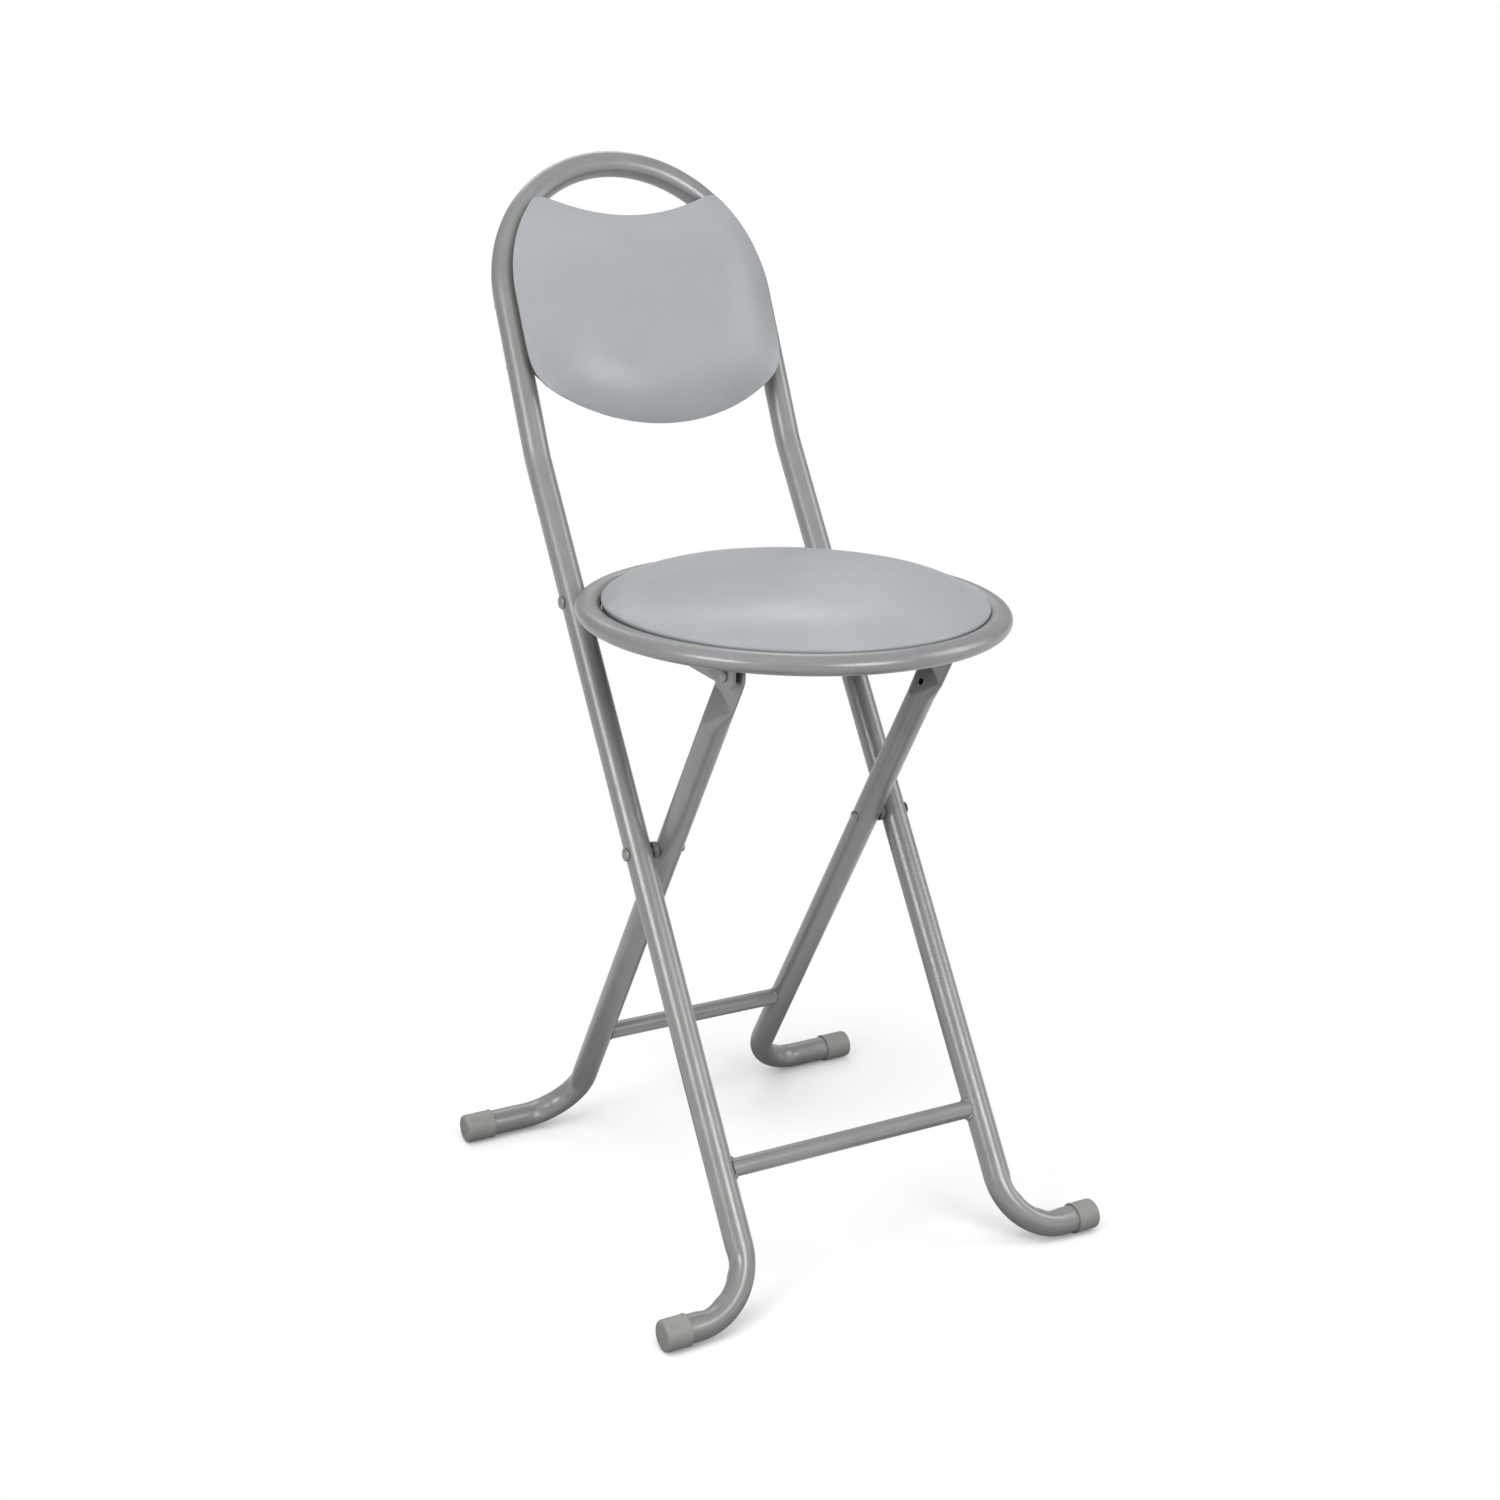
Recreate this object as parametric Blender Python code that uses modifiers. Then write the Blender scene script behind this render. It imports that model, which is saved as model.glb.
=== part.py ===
"""Folding chair-stool: a long tube frame with a backrest, short crossed legs and a round padded seat.

Metres, +Z up, the front towards -Y. The floor is z = 0 and the middle of the outer box is x = y = 0.
The long frame and the legs cross at a riveted pivot. The seat turns on the tops of the legs, and its
two side brackets hook over catch pins on the long frame.
"""
import math

import bmesh
import bpy
from mathutils import Matrix, Vector

# Tubes
TUBE_R = 0.0095            # frame and leg tube, outer radius
TUBE_WALL = 0.0012
CROSSBAR_R = 0.00635
CROSSBAR_WALL = 0.0010
RING_HALF_WIDTH = 0.0088           # flat-oval ring tube, lying on its wide side
RING_HALF_HEIGHT = 0.0069
RING_WALL = 0.0012
CLEAR = 0.0003             # gap between pieces that touch
HOLE_CLEAR = 0.0003        # radial gap round a rivet or a pin

# Crossed frames, seen from the side
LEAN = math.radians(32.4)          # long frame and legs, from the vertical
LOWER_LENGTH = 0.3147              # pivot down to the middle of the foot tube
CATCH_DIST = 0.1866                # pivot up the long frame to the catch pin
SEAT_PIVOT_DIST = 0.1713           # pivot up the leg to the seat rivet
RAIL_BEND_DIST = 0.2978            # pivot up the long frame to its bend
RAIL_BEND_R = 0.100
RAIL_BEND_STEPS = 3
BACK_LEAN = math.radians(24.6)     # upper part of the long frame, from the vertical
BACK_STRAIGHT = 0.1186             # bend to the middle of the arch
RAIL_X = 0.1040                    # middle of each long rail, from the middle plane
LEG_TO_RAIL = 0.0045               # free gap from each leg to its long rail
FOOT_BEND_R = 0.043
FOOT_FREE = 0.0030                 # straight tube between a front foot's bend and its cap
FRONT_BAR_DROP = 0.2225            # pivot down to the front crossbar
REAR_BAR_DROP = 0.2182             # pivot down to the rear crossbar

# Flattened tops of the legs
FLAT_START = 0.1320                # pivot up the leg to where the tube begins to flatten
FLAT_FULL = 0.1560                 # pivot up the leg to where it is flat
FLAT_THICK = 0.0026
FLAT_HALF_WIDTH = 0.0143           # also the radius of the rounded top end
FLAT_SQUARE = 2.5                  # how sharp the edges of the pressed part are
FLAT_TIP = 0.02                    # square of the blunt tip's share of the flat's width
VENT_DIST = 0.1400                 # open hole in the inner wall, below the flat
VENT_R = 0.0030

# Foot caps
CAP_WALL = 0.0014
CAP_LENGTH = 0.0230
CAP_END = 0.0025
CAP_EDGE = 0.0016                  # rounding of the closed end
CAP_NUB_R = 0.0016
CAP_NUB_HEIGHT = 0.0006
CAP_SIDES = 16

# Rivets, catch pins and bushes
RIVET_R = 0.0030
RIVET_HEAD_R = 0.0048
RIVET_HEAD = 0.0023
RIVET_TAIL_R = 0.0042
RIVET_TAIL = 0.0020
RIVET_TAIL_TAPER = 0.90            # end of the set tail against its root
BUSH_R = 0.0060

# Seat
BRACKET_THICK = 0.0025
SEAT_BUSH = 0.0033                 # bush between the flat of a leg and its bracket
BRACKET_FRONT = 0.0127             # seat rivet forward to the front edge
BRACKET_DROP = 0.0076              # seat rivet down to the lower edge
BRACKET_CORNER_R = 0.0055          # rounded lower front corner
HOOK_R = 0.0090                    # rounded rear end, round the catch pin
FLANGE_WIDTH = 0.0160
FLANGE_DROP = 0.0072               # ring's middle plane down to the underside of the flange
NOTCH_ANGLE = math.radians(66.5)   # mouth of the hook, down and forward from the level
RING_R = 0.1393                    # middle of the ring tube
RING_TO_RAIL = 0.0128              # free gap from the ring to the long rail
SEAT_RISE = 0.0194                 # seat rivet up to the ring's middle plane
SEAT_FLATTER = math.radians(1.6)   # seat against the line from its rivet to the catch pin
RING_VENT_R = 0.0020
BOARD_THICK = 0.0060
BOARD_EDGE_GAP = 0.0008
CUSHION_EDGE_GAP = 0.0039          # ring tube to the cushion's widest line, on the level
CUSHION_MEET = math.radians(66.0)  # round the ring tube, from the level, to the cushion's widest line
CUSHION_CROWN = 0.0174             # crown above that line
CUSHION_SQUARE = 6.0               # how flat the crown is before it rolls over at the edge
CUSHION_RINGS = (0.42, 0.66, 0.79, 0.88, 0.94, 0.98)   # where the crown's rings lie, middle to edge

# Backrest
BACK_BOARD_THICK = 0.0040
BACK_BOARD_SCALE = 0.980           # board's outline against the pad's widest line
PAD_BOTTOM = 0.0171                # bend up to the lowest point of the pad, along the frame
PAD_TOP = 0.1768                   # bend up to the bottom of its hollow top edge
PAD_BOTTOM_R = 0.1526
PAD_TOP_R = 0.150
PAD_SIDE_IN = 0.0003               # pad's widest line inside the middle of the rails
PAD_CORNER = 0.0030                # how far the pad's corners are drawn in
PAD_RISE = 0.0035                  # board's face to the pad's widest line
PAD_CROWN = 0.0150                 # crown above that line
PAD_SQUARE = 3.0
PAD_RINGS = (0.975, 0.92, 0.83, 0.68, 0.45, 0.20)      # where the crown's rings lie, edge to middle
PAD_TUCK = 0.0016                  # pad's edge at the board, inside its widest line
PAD_TUCK_MIDDLE = 0.0005           # the same, part of the way up
PAD_TUCK_SHARE = 0.40              # how far up that part of the way is
PAD_POINTS = 52
BACK_SCREW_HEIGHTS = (0.0700, 0.1160)   # bend up to each pair of screws
BACK_SCREW_TURN = math.radians(38.0)    # screws aim in towards the middle, from straight forward

# Screws
SCREW_R = 0.0020
SCREW_HEAD_R = 0.0038
SCREW_HEAD = 0.0022
SEAT_SCREW_BITE = 0.0045           # thread in the seat board
BACK_SCREW_BITE = 0.0030           # thread in the backrest board
SEAT_SCREW_EDGE = 0.01797628       # rear end of the flange forward to the rear seat screw

# Roundness of the tubes
TUBE_SIDES = 12
BORE_SIDES = 8
BAR_SIDES = 10
PIN_SIDES = 12
SCREW_SIDES = 10
BEND_STEPS = 6
ARCH_STEPS = 9
FLAT_STEPS = 5
RING_STEPS = 48
CUSHION_STEPS = 48
HOOK_STEPS = 12
BRACKET_CORNER_STEPS = 6
JOINT_MARK = 0.05                  # drawn size of the empties on the joint axes
SHORTEST_STEP = 0.0003             # points of a path closer than this are one point
WELD = 1e-6                        # corners of a swept mesh closer than this are one corner

# Worked-out places, in the plane seen from the side: y backwards, z up
CAP_R = TUBE_R + CLEAR + CAP_WALL
CAP_FLAT_R = CAP_R * math.cos(math.pi / CAP_SIDES)
FOOT_Z = CAP_FLAT_R
FOOT_REACH = RAIL_X + FOOT_BEND_R + FOOT_FREE + CAP_LENGTH     # middle plane to the face of a cap
LEG_X = RAIL_X - 2 * TUBE_R - LEG_TO_RAIL
FLAT_OUT = LEG_X + FLAT_THICK / 2
BRACKET_IN = FLAT_OUT + SEAT_BUSH + 2 * CLEAR
BRACKET_OUT = BRACKET_IN + BRACKET_THICK
RAIL_DIR = Vector((0, math.sin(LEAN), math.cos(LEAN)))
LEG_DIR = Vector((0, -math.sin(LEAN), math.cos(LEAN)))
BACK_DIR = Vector((0, math.sin(BACK_LEAN), math.cos(BACK_LEAN)))
BACK_OUT = Vector((0, -math.cos(BACK_LEAN), math.sin(BACK_LEAN)))
RAIL_BEND = RAIL_DIR * RAIL_BEND_DIST
CATCH = RAIL_DIR * CATCH_DIST
SEAT_PIVOT = LEG_DIR * SEAT_PIVOT_DIST
PIVOT_Z = FOOT_Z + LOWER_LENGTH * math.cos(LEAN)
FRONT_EDGE = -LOWER_LENGTH * math.sin(LEAN) - CAP_FLAT_R
REAR_EDGE = (RAIL_BEND + BACK_DIR * (BACK_STRAIGHT + RAIL_X)).y + TUBE_R
PIVOT = Vector((0, -(FRONT_EDGE + REAR_EDGE) / 2, PIVOT_Z))

# Seat frame: its origin is the middle of the ring, level with the ring tube's middle
LINE = CATCH - SEAT_PIVOT
SEAT_TILT = math.atan2(LINE.z, LINE.y) - SEAT_FLATTER
SEAT_DIR = Vector((0, math.cos(SEAT_TILT), math.sin(SEAT_TILT)))
SEAT_UP = Vector((0, -math.sin(SEAT_TILT), math.cos(SEAT_TILT)))
RAIL_CROSSING = CATCH + RAIL_DIR * ((SEAT_RISE - LINE.dot(SEAT_UP)) / RAIL_DIR.dot(SEAT_UP))
RAIL_FRONT = (RAIL_CROSSING - SEAT_PIVOT).dot(SEAT_DIR) - TUBE_R / math.cos(LEAN + SEAT_TILT)
RING_HALF_CHORD = math.sqrt((RING_R + RING_HALF_WIDTH) ** 2 - (RAIL_X - TUBE_R) ** 2)
SEAT_BACK = RAIL_FRONT - RING_TO_RAIL - RING_HALF_CHORD
SEAT_FRAME = (Matrix.Translation(PIVOT + SEAT_PIVOT + SEAT_DIR * SEAT_BACK + SEAT_UP * SEAT_RISE)
              @ Matrix.Rotation(SEAT_TILT, 4, "X"))
BOARD_Z = CLEAR + BRACKET_THICK - FLANGE_DROP
CUSHION_Z = BOARD_Z + BOARD_THICK + CLEAR
CUSHION_BULGE_Z = RING_HALF_HEIGHT * math.sin(CUSHION_MEET)

# Backrest board: its edge lies inside the middle of the tubes, so it sits down on their round sides
PAD_SIDE = RAIL_X - PAD_SIDE_IN
BACK_BOARD_EDGE_IN = RAIL_X - PAD_SIDE * BACK_BOARD_SCALE
BACK_BOARD_OUT = math.sqrt((TUBE_R + CLEAR) ** 2 - BACK_BOARD_EDGE_IN ** 2)

parts = bpy.data.collections.new("folding_stool")
cutters = bpy.data.collections.new("cutters")


def clear_scene():
    for old in list(bpy.data.objects):
        bpy.data.objects.remove(old, do_unlink=True)
    bpy.context.scene.collection.children.link(parts)
    bpy.context.scene.collection.children.link(cutters)


def linear(red, green, blue):
    """A screen colour as the linear values that a shader takes."""
    levels = [value / 255 for value in (red, green, blue)]
    return [v / 12.92 if v <= 0.04045 else ((v + 0.055) / 1.055) ** 2.4 for v in levels] + [1.0]


def material(name, colour, roughness, metallic):
    made = bpy.data.materials.new(name)
    made.use_nodes = True
    shader = made.node_tree.nodes["Principled BSDF"]
    shader.inputs["Base Color"].default_value = colour
    shader.inputs["Roughness"].default_value = roughness
    shader.inputs["Metallic"].default_value = metallic
    return made


PAINT = dict(colour=linear(152, 155, 149), roughness=0.35, metallic=0.2)
STEEL = dict(colour=linear(160, 162, 158), roughness=0.35, metallic=0.7)
PLASTIC = dict(colour=linear(158, 160, 154), roughness=0.6, metallic=0.0)
VINYL = dict(colour=linear(168, 173, 178), roughness=0.5, metallic=0.0)
WOOD = dict(colour=linear(176, 140, 98), roughness=0.7, metallic=0.0)


def place(name, mesh, frame, look):
    """A finished piece: its own object and its own material, standing at the given frame."""
    mesh.name = name
    obj = bpy.data.objects.new(name, mesh)
    obj.matrix_world = frame
    mesh.materials.clear()
    mesh.materials.append(material(name, **look))
    parts.objects.link(obj)
    return obj


def cutter(name, mesh, frame):
    obj = bpy.data.objects.new(name, mesh)
    obj.matrix_world = frame
    obj.hide_render = True
    obj.display_type = "WIRE"
    cutters.objects.link(obj)
    return obj


def cut(obj, tools, operation="DIFFERENCE"):
    for tool in tools:
        change = obj.modifiers.new(tool.name, "BOOLEAN")
        change.operation = operation
        change.solver = "EXACT"
        change.object = tool


def smooth(mesh, angle=35):
    mesh.shade_smooth()
    mesh.set_sharp_from_angle(angle=math.radians(angle))
    return mesh


def at_pivot(point=Vector((0, 0, 0))):
    return Matrix.Translation(PIVOT + point)


def mirrored(side, point):
    return Vector((side * point.x, point.y, point.z))


def rounded_path(corners, radii, steps):
    """Points along straight runs whose inner corners are turned into arcs."""
    points = [corners[0]]
    for before, corner, after, radius, count in zip(corners, corners[1:], corners[2:], radii, steps):
        back = (before - corner).normalized()
        ahead = (after - corner).normalized()
        half = back.angle(ahead) / 2
        centre = corner + (back + ahead).normalized() * (radius / math.sin(half))
        start = corner + back * (radius / math.tan(half)) - centre
        turn = math.pi - 2 * half
        axis = start.cross(back).normalized()
        for step in range(count + 1):
            point = centre + Matrix.Rotation(-turn * step / count, 3, axis) @ start
            if (point - points[-1]).length > SHORTEST_STEP:
                points.append(point)
    points.append(corners[-1])
    return points


def tube_mesh(name, points, radius, sides):
    """A solid round bar along the points, as a closed mesh."""
    curve = bpy.data.curves.new(name, "CURVE")
    curve.dimensions = "3D"
    curve.bevel_depth = radius
    curve.bevel_resolution = (sides - 4) // 2
    curve.use_fill_caps = True
    spline = curve.splines.new("POLY")
    spline.points.add(len(points) - 1)
    for target, point in zip(spline.points, points):
        target.co = (*point, 1)
    obj = bpy.data.objects.new(name, curve)
    parts.objects.link(obj)
    bpy.context.view_layer.update()
    mesh = bpy.data.meshes.new_from_object(obj.evaluated_get(bpy.context.evaluated_depsgraph_get()))
    bpy.data.objects.remove(obj)
    bpy.data.curves.remove(curve)
    bm = bmesh.new()
    bm.from_mesh(mesh)
    bmesh.ops.remove_doubles(bm, verts=bm.verts, dist=WELD)
    bm.to_mesh(mesh)
    bm.free()
    return smooth(mesh)


def outline_mesh(name, outline, depth):
    """A flat plate: the outline in X and Y, thickened both ways along Z."""
    curve = bpy.data.curves.new(name, "CURVE")
    curve.dimensions = "2D"
    curve.fill_mode = "BOTH"
    curve.extrude = depth / 2
    spline = curve.splines.new("POLY")
    spline.points.add(len(outline) - 1)
    for target, point in zip(spline.points, outline):
        target.co = (point[0], point[1], 0, 1)
    spline.use_cyclic_u = True
    obj = bpy.data.objects.new(name, curve)
    parts.objects.link(obj)
    bpy.context.view_layer.update()
    mesh = bpy.data.meshes.new_from_object(obj.evaluated_get(bpy.context.evaluated_depsgraph_get()))
    bpy.data.objects.remove(obj)
    bpy.data.curves.remove(curve)
    bm = bmesh.new()
    bm.from_mesh(mesh)
    bmesh.ops.remove_doubles(bm, verts=bm.verts, dist=WELD)
    bm.to_mesh(mesh)
    bm.free()
    return smooth(mesh)


def turned_mesh(name, profile, sides, closed=False):
    """A turned piece: the profile, radius and height, swept round Z by a Screw modifier."""
    mesh = bpy.data.meshes.new(name)
    edges = [(i, i + 1) for i in range(len(profile) - 1)]
    if closed:
        edges.append((len(profile) - 1, 0))
    mesh.from_pydata([(radius, 0, height) for radius, height in profile], edges, [])
    obj = bpy.data.objects.new(name, mesh)
    parts.objects.link(obj)
    screw = obj.modifiers.new("turn", "SCREW")
    screw.steps = sides
    screw.render_steps = sides
    screw.use_merge_vertices = True
    screw.merge_threshold = WELD
    bpy.context.view_layer.update()
    turned = bpy.data.meshes.new_from_object(obj.evaluated_get(bpy.context.evaluated_depsgraph_get()))
    bpy.data.objects.remove(obj)
    bpy.data.meshes.remove(mesh)
    return smooth(turned)


def drill(name, radius, length, frame, sides=PIN_SIDES):
    """A round cutter along the frame's Z axis, centred on its origin."""
    mesh = bpy.data.meshes.new(name)
    bm = bmesh.new()
    bmesh.ops.create_cone(bm, segments=sides, radius1=radius, radius2=radius, depth=length, cap_ends=True)
    bm.to_mesh(mesh)
    bm.free()
    return cutter(name, mesh, frame)


def block_mesh(name, low, high):
    mesh = bpy.data.meshes.new(name)
    bm = bmesh.new()
    bmesh.ops.create_cube(bm, size=1)
    for vert in bm.verts:
        vert.co = [a if c < 0 else b for a, b, c in zip(low, high, vert.co)]
    bm.to_mesh(mesh)
    bm.free()
    return mesh


def outwards(side, point):
    """A frame at the point whose Z axis points away from the middle plane."""
    return Matrix.Translation(PIVOT + point) @ Matrix.Rotation(side * math.pi / 2, 4, "Y")


def dome(radius, height, steps=3):
    """Radius and height of the points from the top of a domed head down to its edge."""
    return [(radius * math.sin(math.pi / 2 * i / steps), height * math.cos(math.pi / 2 * i / steps))
            for i in range(steps)]


def rivet_profile(length, tail_radius, tail):
    """A domed head at the top, a shank of the given length and a flat set tail below."""
    points = dome(RIVET_HEAD_R, RIVET_HEAD) + [(RIVET_HEAD_R, 0), (RIVET_R, 0)]
    if tail:
        points += [(RIVET_R, -length), (tail_radius, -length)]
        return points + [(tail_radius * RIVET_TAIL_TAPER, -length - tail), (0, -length - tail)]
    return points + [(RIVET_R, -length), (0, -length)]


# Long frame
def rail_point(side, distance):
    return Vector((side * RAIL_X, 0, 0)) + RAIL_DIR * distance


def back_point(x, height, out=0.0):
    """A point of the backrest: across, up the frame from the bend, and forward of the tubes' plane."""
    return RAIL_BEND + Vector((x, 0, 0)) + BACK_DIR * height + BACK_OUT * out


def foot_corner(side, x, direction):
    return Vector((side * x, 0, 0)) - direction * LOWER_LENGTH


def foot_end(side, x, direction, inset):
    corner = foot_corner(side, x, direction)
    return Vector((side * (FOOT_REACH - inset), corner.y, corner.z))


def long_frame_path(inset):
    """Middle line of the long tube, from one foot over the arch to the other foot."""
    top = BACK_STRAIGHT + RAIL_X
    half = [foot_end(-1, RAIL_X, RAIL_DIR, inset), foot_corner(-1, RAIL_X, RAIL_DIR),
            rail_point(-1, RAIL_BEND_DIST), back_point(-RAIL_X, top)]
    corners = half + [mirrored(-1, point) for point in reversed(half)]
    radii = [FOOT_BEND_R, RAIL_BEND_R, RAIL_X, RAIL_X, RAIL_BEND_R, FOOT_BEND_R]
    steps = [BEND_STEPS, RAIL_BEND_STEPS, ARCH_STEPS]
    return rounded_path(corners, radii, steps + steps[::-1])


def back_screw_frames():
    """Frames under the heads of the backrest screws, Z axis backwards and away from the middle."""
    frames = []
    for side in (-1, 1):
        head = Vector((side * math.sin(BACK_SCREW_TURN), 0, 0)) - BACK_OUT * math.cos(BACK_SCREW_TURN)
        turn = head.to_track_quat("Z", "Y").to_matrix().to_4x4()
        for height in BACK_SCREW_HEIGHTS:
            under_head = back_point(side * RAIL_X, height) + head * (TUBE_R + CLEAR)
            frames.append(Matrix.Translation(PIVOT + under_head) @ turn)
    return frames


def make_long_frame():
    tip = CAP_END + CLEAR
    frame = place("outer_frame_tube", tube_mesh("outer_frame_tube", long_frame_path(tip), TUBE_R, TUBE_SIDES),
                  at_pivot(), PAINT)
    bore = tube_mesh("frame_bore", long_frame_path(-tip), TUBE_R - TUBE_WALL, BORE_SIDES)
    tools = [cutter("frame_bore", bore, at_pivot())]
    for side in (-1, 1):
        for label, distance in (("pivot", 0), ("catch", CATCH_DIST)):
            tools.append(drill(f"rail_{label}_hole_{side}", RIVET_R + HOLE_CLEAR, 4 * TUBE_R,
                               outwards(side, rail_point(side, distance))))
    for number, screw in enumerate(back_screw_frames()):
        tools.append(drill(f"rail_screw_hole_{number}", SCREW_R + HOLE_CLEAR, 6 * TUBE_R, screw))
    cut(frame, tools)
    return frame


def make_crossbar(name, x, direction, drop, body):
    """A small tube between two big ones, its ends shaped to their round sides."""
    middle = -direction * drop
    ends = [Vector((-x, 0, 0)), Vector((x, 0, 0))]
    bar = place(name, tube_mesh(name, ends, CROSSBAR_R, BAR_SIDES), at_pivot(middle), PAINT)
    longer = [end * ((x + TUBE_R) / x) for end in ends]
    bore = tube_mesh(name + "_bore", longer, CROSSBAR_R - CROSSBAR_WALL, BORE_SIDES)
    tools = [cutter(name + "_bore", bore, at_pivot(middle))]
    turn = direction.to_track_quat("Z", "Y").to_matrix().to_4x4()
    for side in (-1, 1):
        frame = at_pivot(middle + Vector((side * x, 0, 0))) @ turn
        tools.append(drill(f"{name}_end_{side}", TUBE_R + CLEAR, 8 * CROSSBAR_R, frame, 2 * TUBE_SIDES))
    cut(bar, tools)
    body.append(bar)


# Legs
def flattened(side, mesh, wall=0.0):
    """Press the top of a leg flat and round its end off."""
    radius = TUBE_R - wall
    across = Vector((0, math.cos(LEAN), math.sin(LEAN)))
    for vert in mesh.vertices:
        along = vert.co.dot(LEG_DIR)
        if along <= FLAT_START:
            continue
        press = min((along - FLAT_START) / (FLAT_FULL - FLAT_START), 1.0)
        press = press * press * (3 - 2 * press)
        depth = side * vert.co.x - LEG_X
        width = vert.co.dot(across)
        squared = math.copysign(min(abs(depth) * FLAT_SQUARE / radius, 1.0), depth)
        flat_depth = squared * (FLAT_THICK / 2 - wall)
        flat_width = width / radius * (FLAT_HALF_WIDTH - wall)
        if along > SEAT_PIVOT_DIST:
            reach = min((along - SEAT_PIVOT_DIST) / FLAT_HALF_WIDTH, 1.0)
            flat_width *= math.sqrt(max(1 - reach * reach, FLAT_TIP))
        depth += (flat_depth - depth) * press
        vert.co += across * ((flat_width - width) * press)
        vert.co.x = side * (LEG_X + depth)
    return smooth(mesh)


def on_leg(side, height):
    return Vector((side * LEG_X, 0, 0)) + LEG_DIR * height


def leg_path(side, inset):
    """Middle line of a leg, from its foot to the start of its flattened top."""
    foot = [foot_end(side, LEG_X, LEG_DIR, inset), foot_corner(side, LEG_X, LEG_DIR)]
    return rounded_path(foot + [on_leg(side, FLAT_START)], [FOOT_BEND_R], [BEND_STEPS])


def make_leg(side, label, body):
    name = f"rear_leg_{label}"
    tip = CAP_END + CLEAR
    pressed = [FLAT_START + (FLAT_FULL - FLAT_START) * i / FLAT_STEPS for i in range(1, FLAT_STEPS + 1)]
    rounded = [SEAT_PIVOT_DIST + FLAT_HALF_WIDTH * math.sin(math.pi / 2 * i / FLAT_STEPS)
               for i in range(FLAT_STEPS + 1)]
    path = leg_path(side, tip) + [on_leg(side, height) for height in pressed + rounded]
    leg = place(name, flattened(side, tube_mesh(name, path, TUBE_R, TUBE_SIDES)), at_pivot(), PAINT)
    bore_path = leg_path(side, -tip) + [on_leg(side, height) for height in pressed[:FLAT_STEPS // 2]]
    bore = tube_mesh(name + "_bore", bore_path, TUBE_R - TUBE_WALL, BORE_SIDES)
    tools = [cutter(name + "_bore", flattened(side, bore, TUBE_WALL), at_pivot())]
    hole = RIVET_R + HOLE_CLEAR
    tools.append(drill(name + "_pivot_hole", hole, 3 * TUBE_R, outwards(side, on_leg(side, 0))))
    tools.append(drill(name + "_seat_hole", hole, 3 * TUBE_R, outwards(side, on_leg(side, SEAT_PIVOT_DIST))))
    inner = outwards(side, on_leg(side, VENT_DIST) - Vector((side * TUBE_R / 2, 0, 0)))
    tools.append(drill(name + "_vent", VENT_R, 1.5 * TUBE_R, inner, BAR_SIDES))
    cut(leg, tools)
    body.append(leg)


# Foot caps
def cap_mesh():
    bore = TUBE_R + CLEAR
    open_end = -CAP_LENGTH + CAP_END
    corner = CAP_EDGE * (1 - math.cos(math.pi / 4))
    profile = [(0, CAP_END + CAP_NUB_HEIGHT), (CAP_NUB_R, CAP_END + CAP_NUB_HEIGHT), (CAP_NUB_R, CAP_END),
               (CAP_R - CAP_EDGE, CAP_END), (CAP_R - corner, CAP_END - corner),
               (CAP_R, CAP_END - CAP_EDGE), (CAP_R, open_end), (bore, open_end), (bore, 0), (0, 0)]
    return turned_mesh("foot_cap", profile, CAP_SIDES)


def make_cap(name, side, x, direction, body):
    """A plastic cup over the end of a foot tube, turned so that one of its flats faces the floor."""
    end = foot_end(side, x, direction, CAP_END)
    flat_turn = Matrix.Rotation(math.pi / CAP_SIDES, 4, "Z")
    body.append(place(name, cap_mesh(), outwards(side, end) @ flat_turn, PLASTIC))


# Rivets, pins and bushes
def make_rivet(name, side, place_in, head_x, tail_x, look, body, tail=True):
    """A rivet across the frame at the given point of the side view, head outside and tail inside."""
    profile = rivet_profile(head_x - tail_x, RIVET_TAIL_R, RIVET_TAIL if tail else 0)
    frame = outwards(side, place_in + Vector((side * head_x, 0, 0)))
    body.append(place(name, turned_mesh(name, profile, PIN_SIDES), frame, look))


def make_bush(name, side, place_in, low, high, body):
    """The spacer on a pivot, filling the gap between two faces but for the clearances."""
    length = high - low - 2 * CLEAR
    bore = RIVET_R + HOLE_CLEAR
    profile = [(BUSH_R, length), (BUSH_R, 0), (bore, 0), (bore, length)]
    frame = outwards(side, place_in + Vector((side * (low + CLEAR), 0, 0)))
    body.append(place(name, turned_mesh(name, profile, PIN_SIDES, closed=True), frame, PLASTIC))


def screw_mesh(name, shank):
    """A screw along Z: head at the top, shank below it."""
    profile = dome(SCREW_HEAD_R, SCREW_HEAD, 2)
    profile += [(SCREW_HEAD_R, 0), (SCREW_R, 0), (SCREW_R, -shank), (0, -shank)]
    return turned_mesh(name, profile, SCREW_SIDES)


def make_screws(name, shank, frames, look, body):
    """Identical screws, one object for each frame."""
    for number, frame in enumerate(frames, 1):
        one = f"{name}_{number}"
        body.append(place(one, screw_mesh(one, shank), frame, look))


# Seat
def in_seat(point):
    """A point of the side view, from the main pivot, in the seat's own frame."""
    return SEAT_FRAME.inverted() @ (PIVOT + point)


def arc(centre, radius, start, end, steps):
    return [(centre.y + radius * math.cos(start + (end - start) * i / steps),
             centre.z + radius * math.sin(start + (end - start) * i / steps)) for i in range(steps + 1)]


def flange_ends():
    """Front and rear ends of a bracket's flange, which lies inside the ring."""
    front = -math.sqrt((RING_R - RING_HALF_WIDTH) ** 2 - (BRACKET_IN + FLANGE_WIDTH) ** 2)
    return front, -front - RING_HALF_WIDTH


def seat_screw_places():
    x = BRACKET_OUT + (FLANGE_WIDTH - BRACKET_THICK) / 2
    reach = flange_ends()[1] - SEAT_SCREW_EDGE
    return [(side * x, y) for side in (-1, 1) for y in (-reach, reach)]


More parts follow.
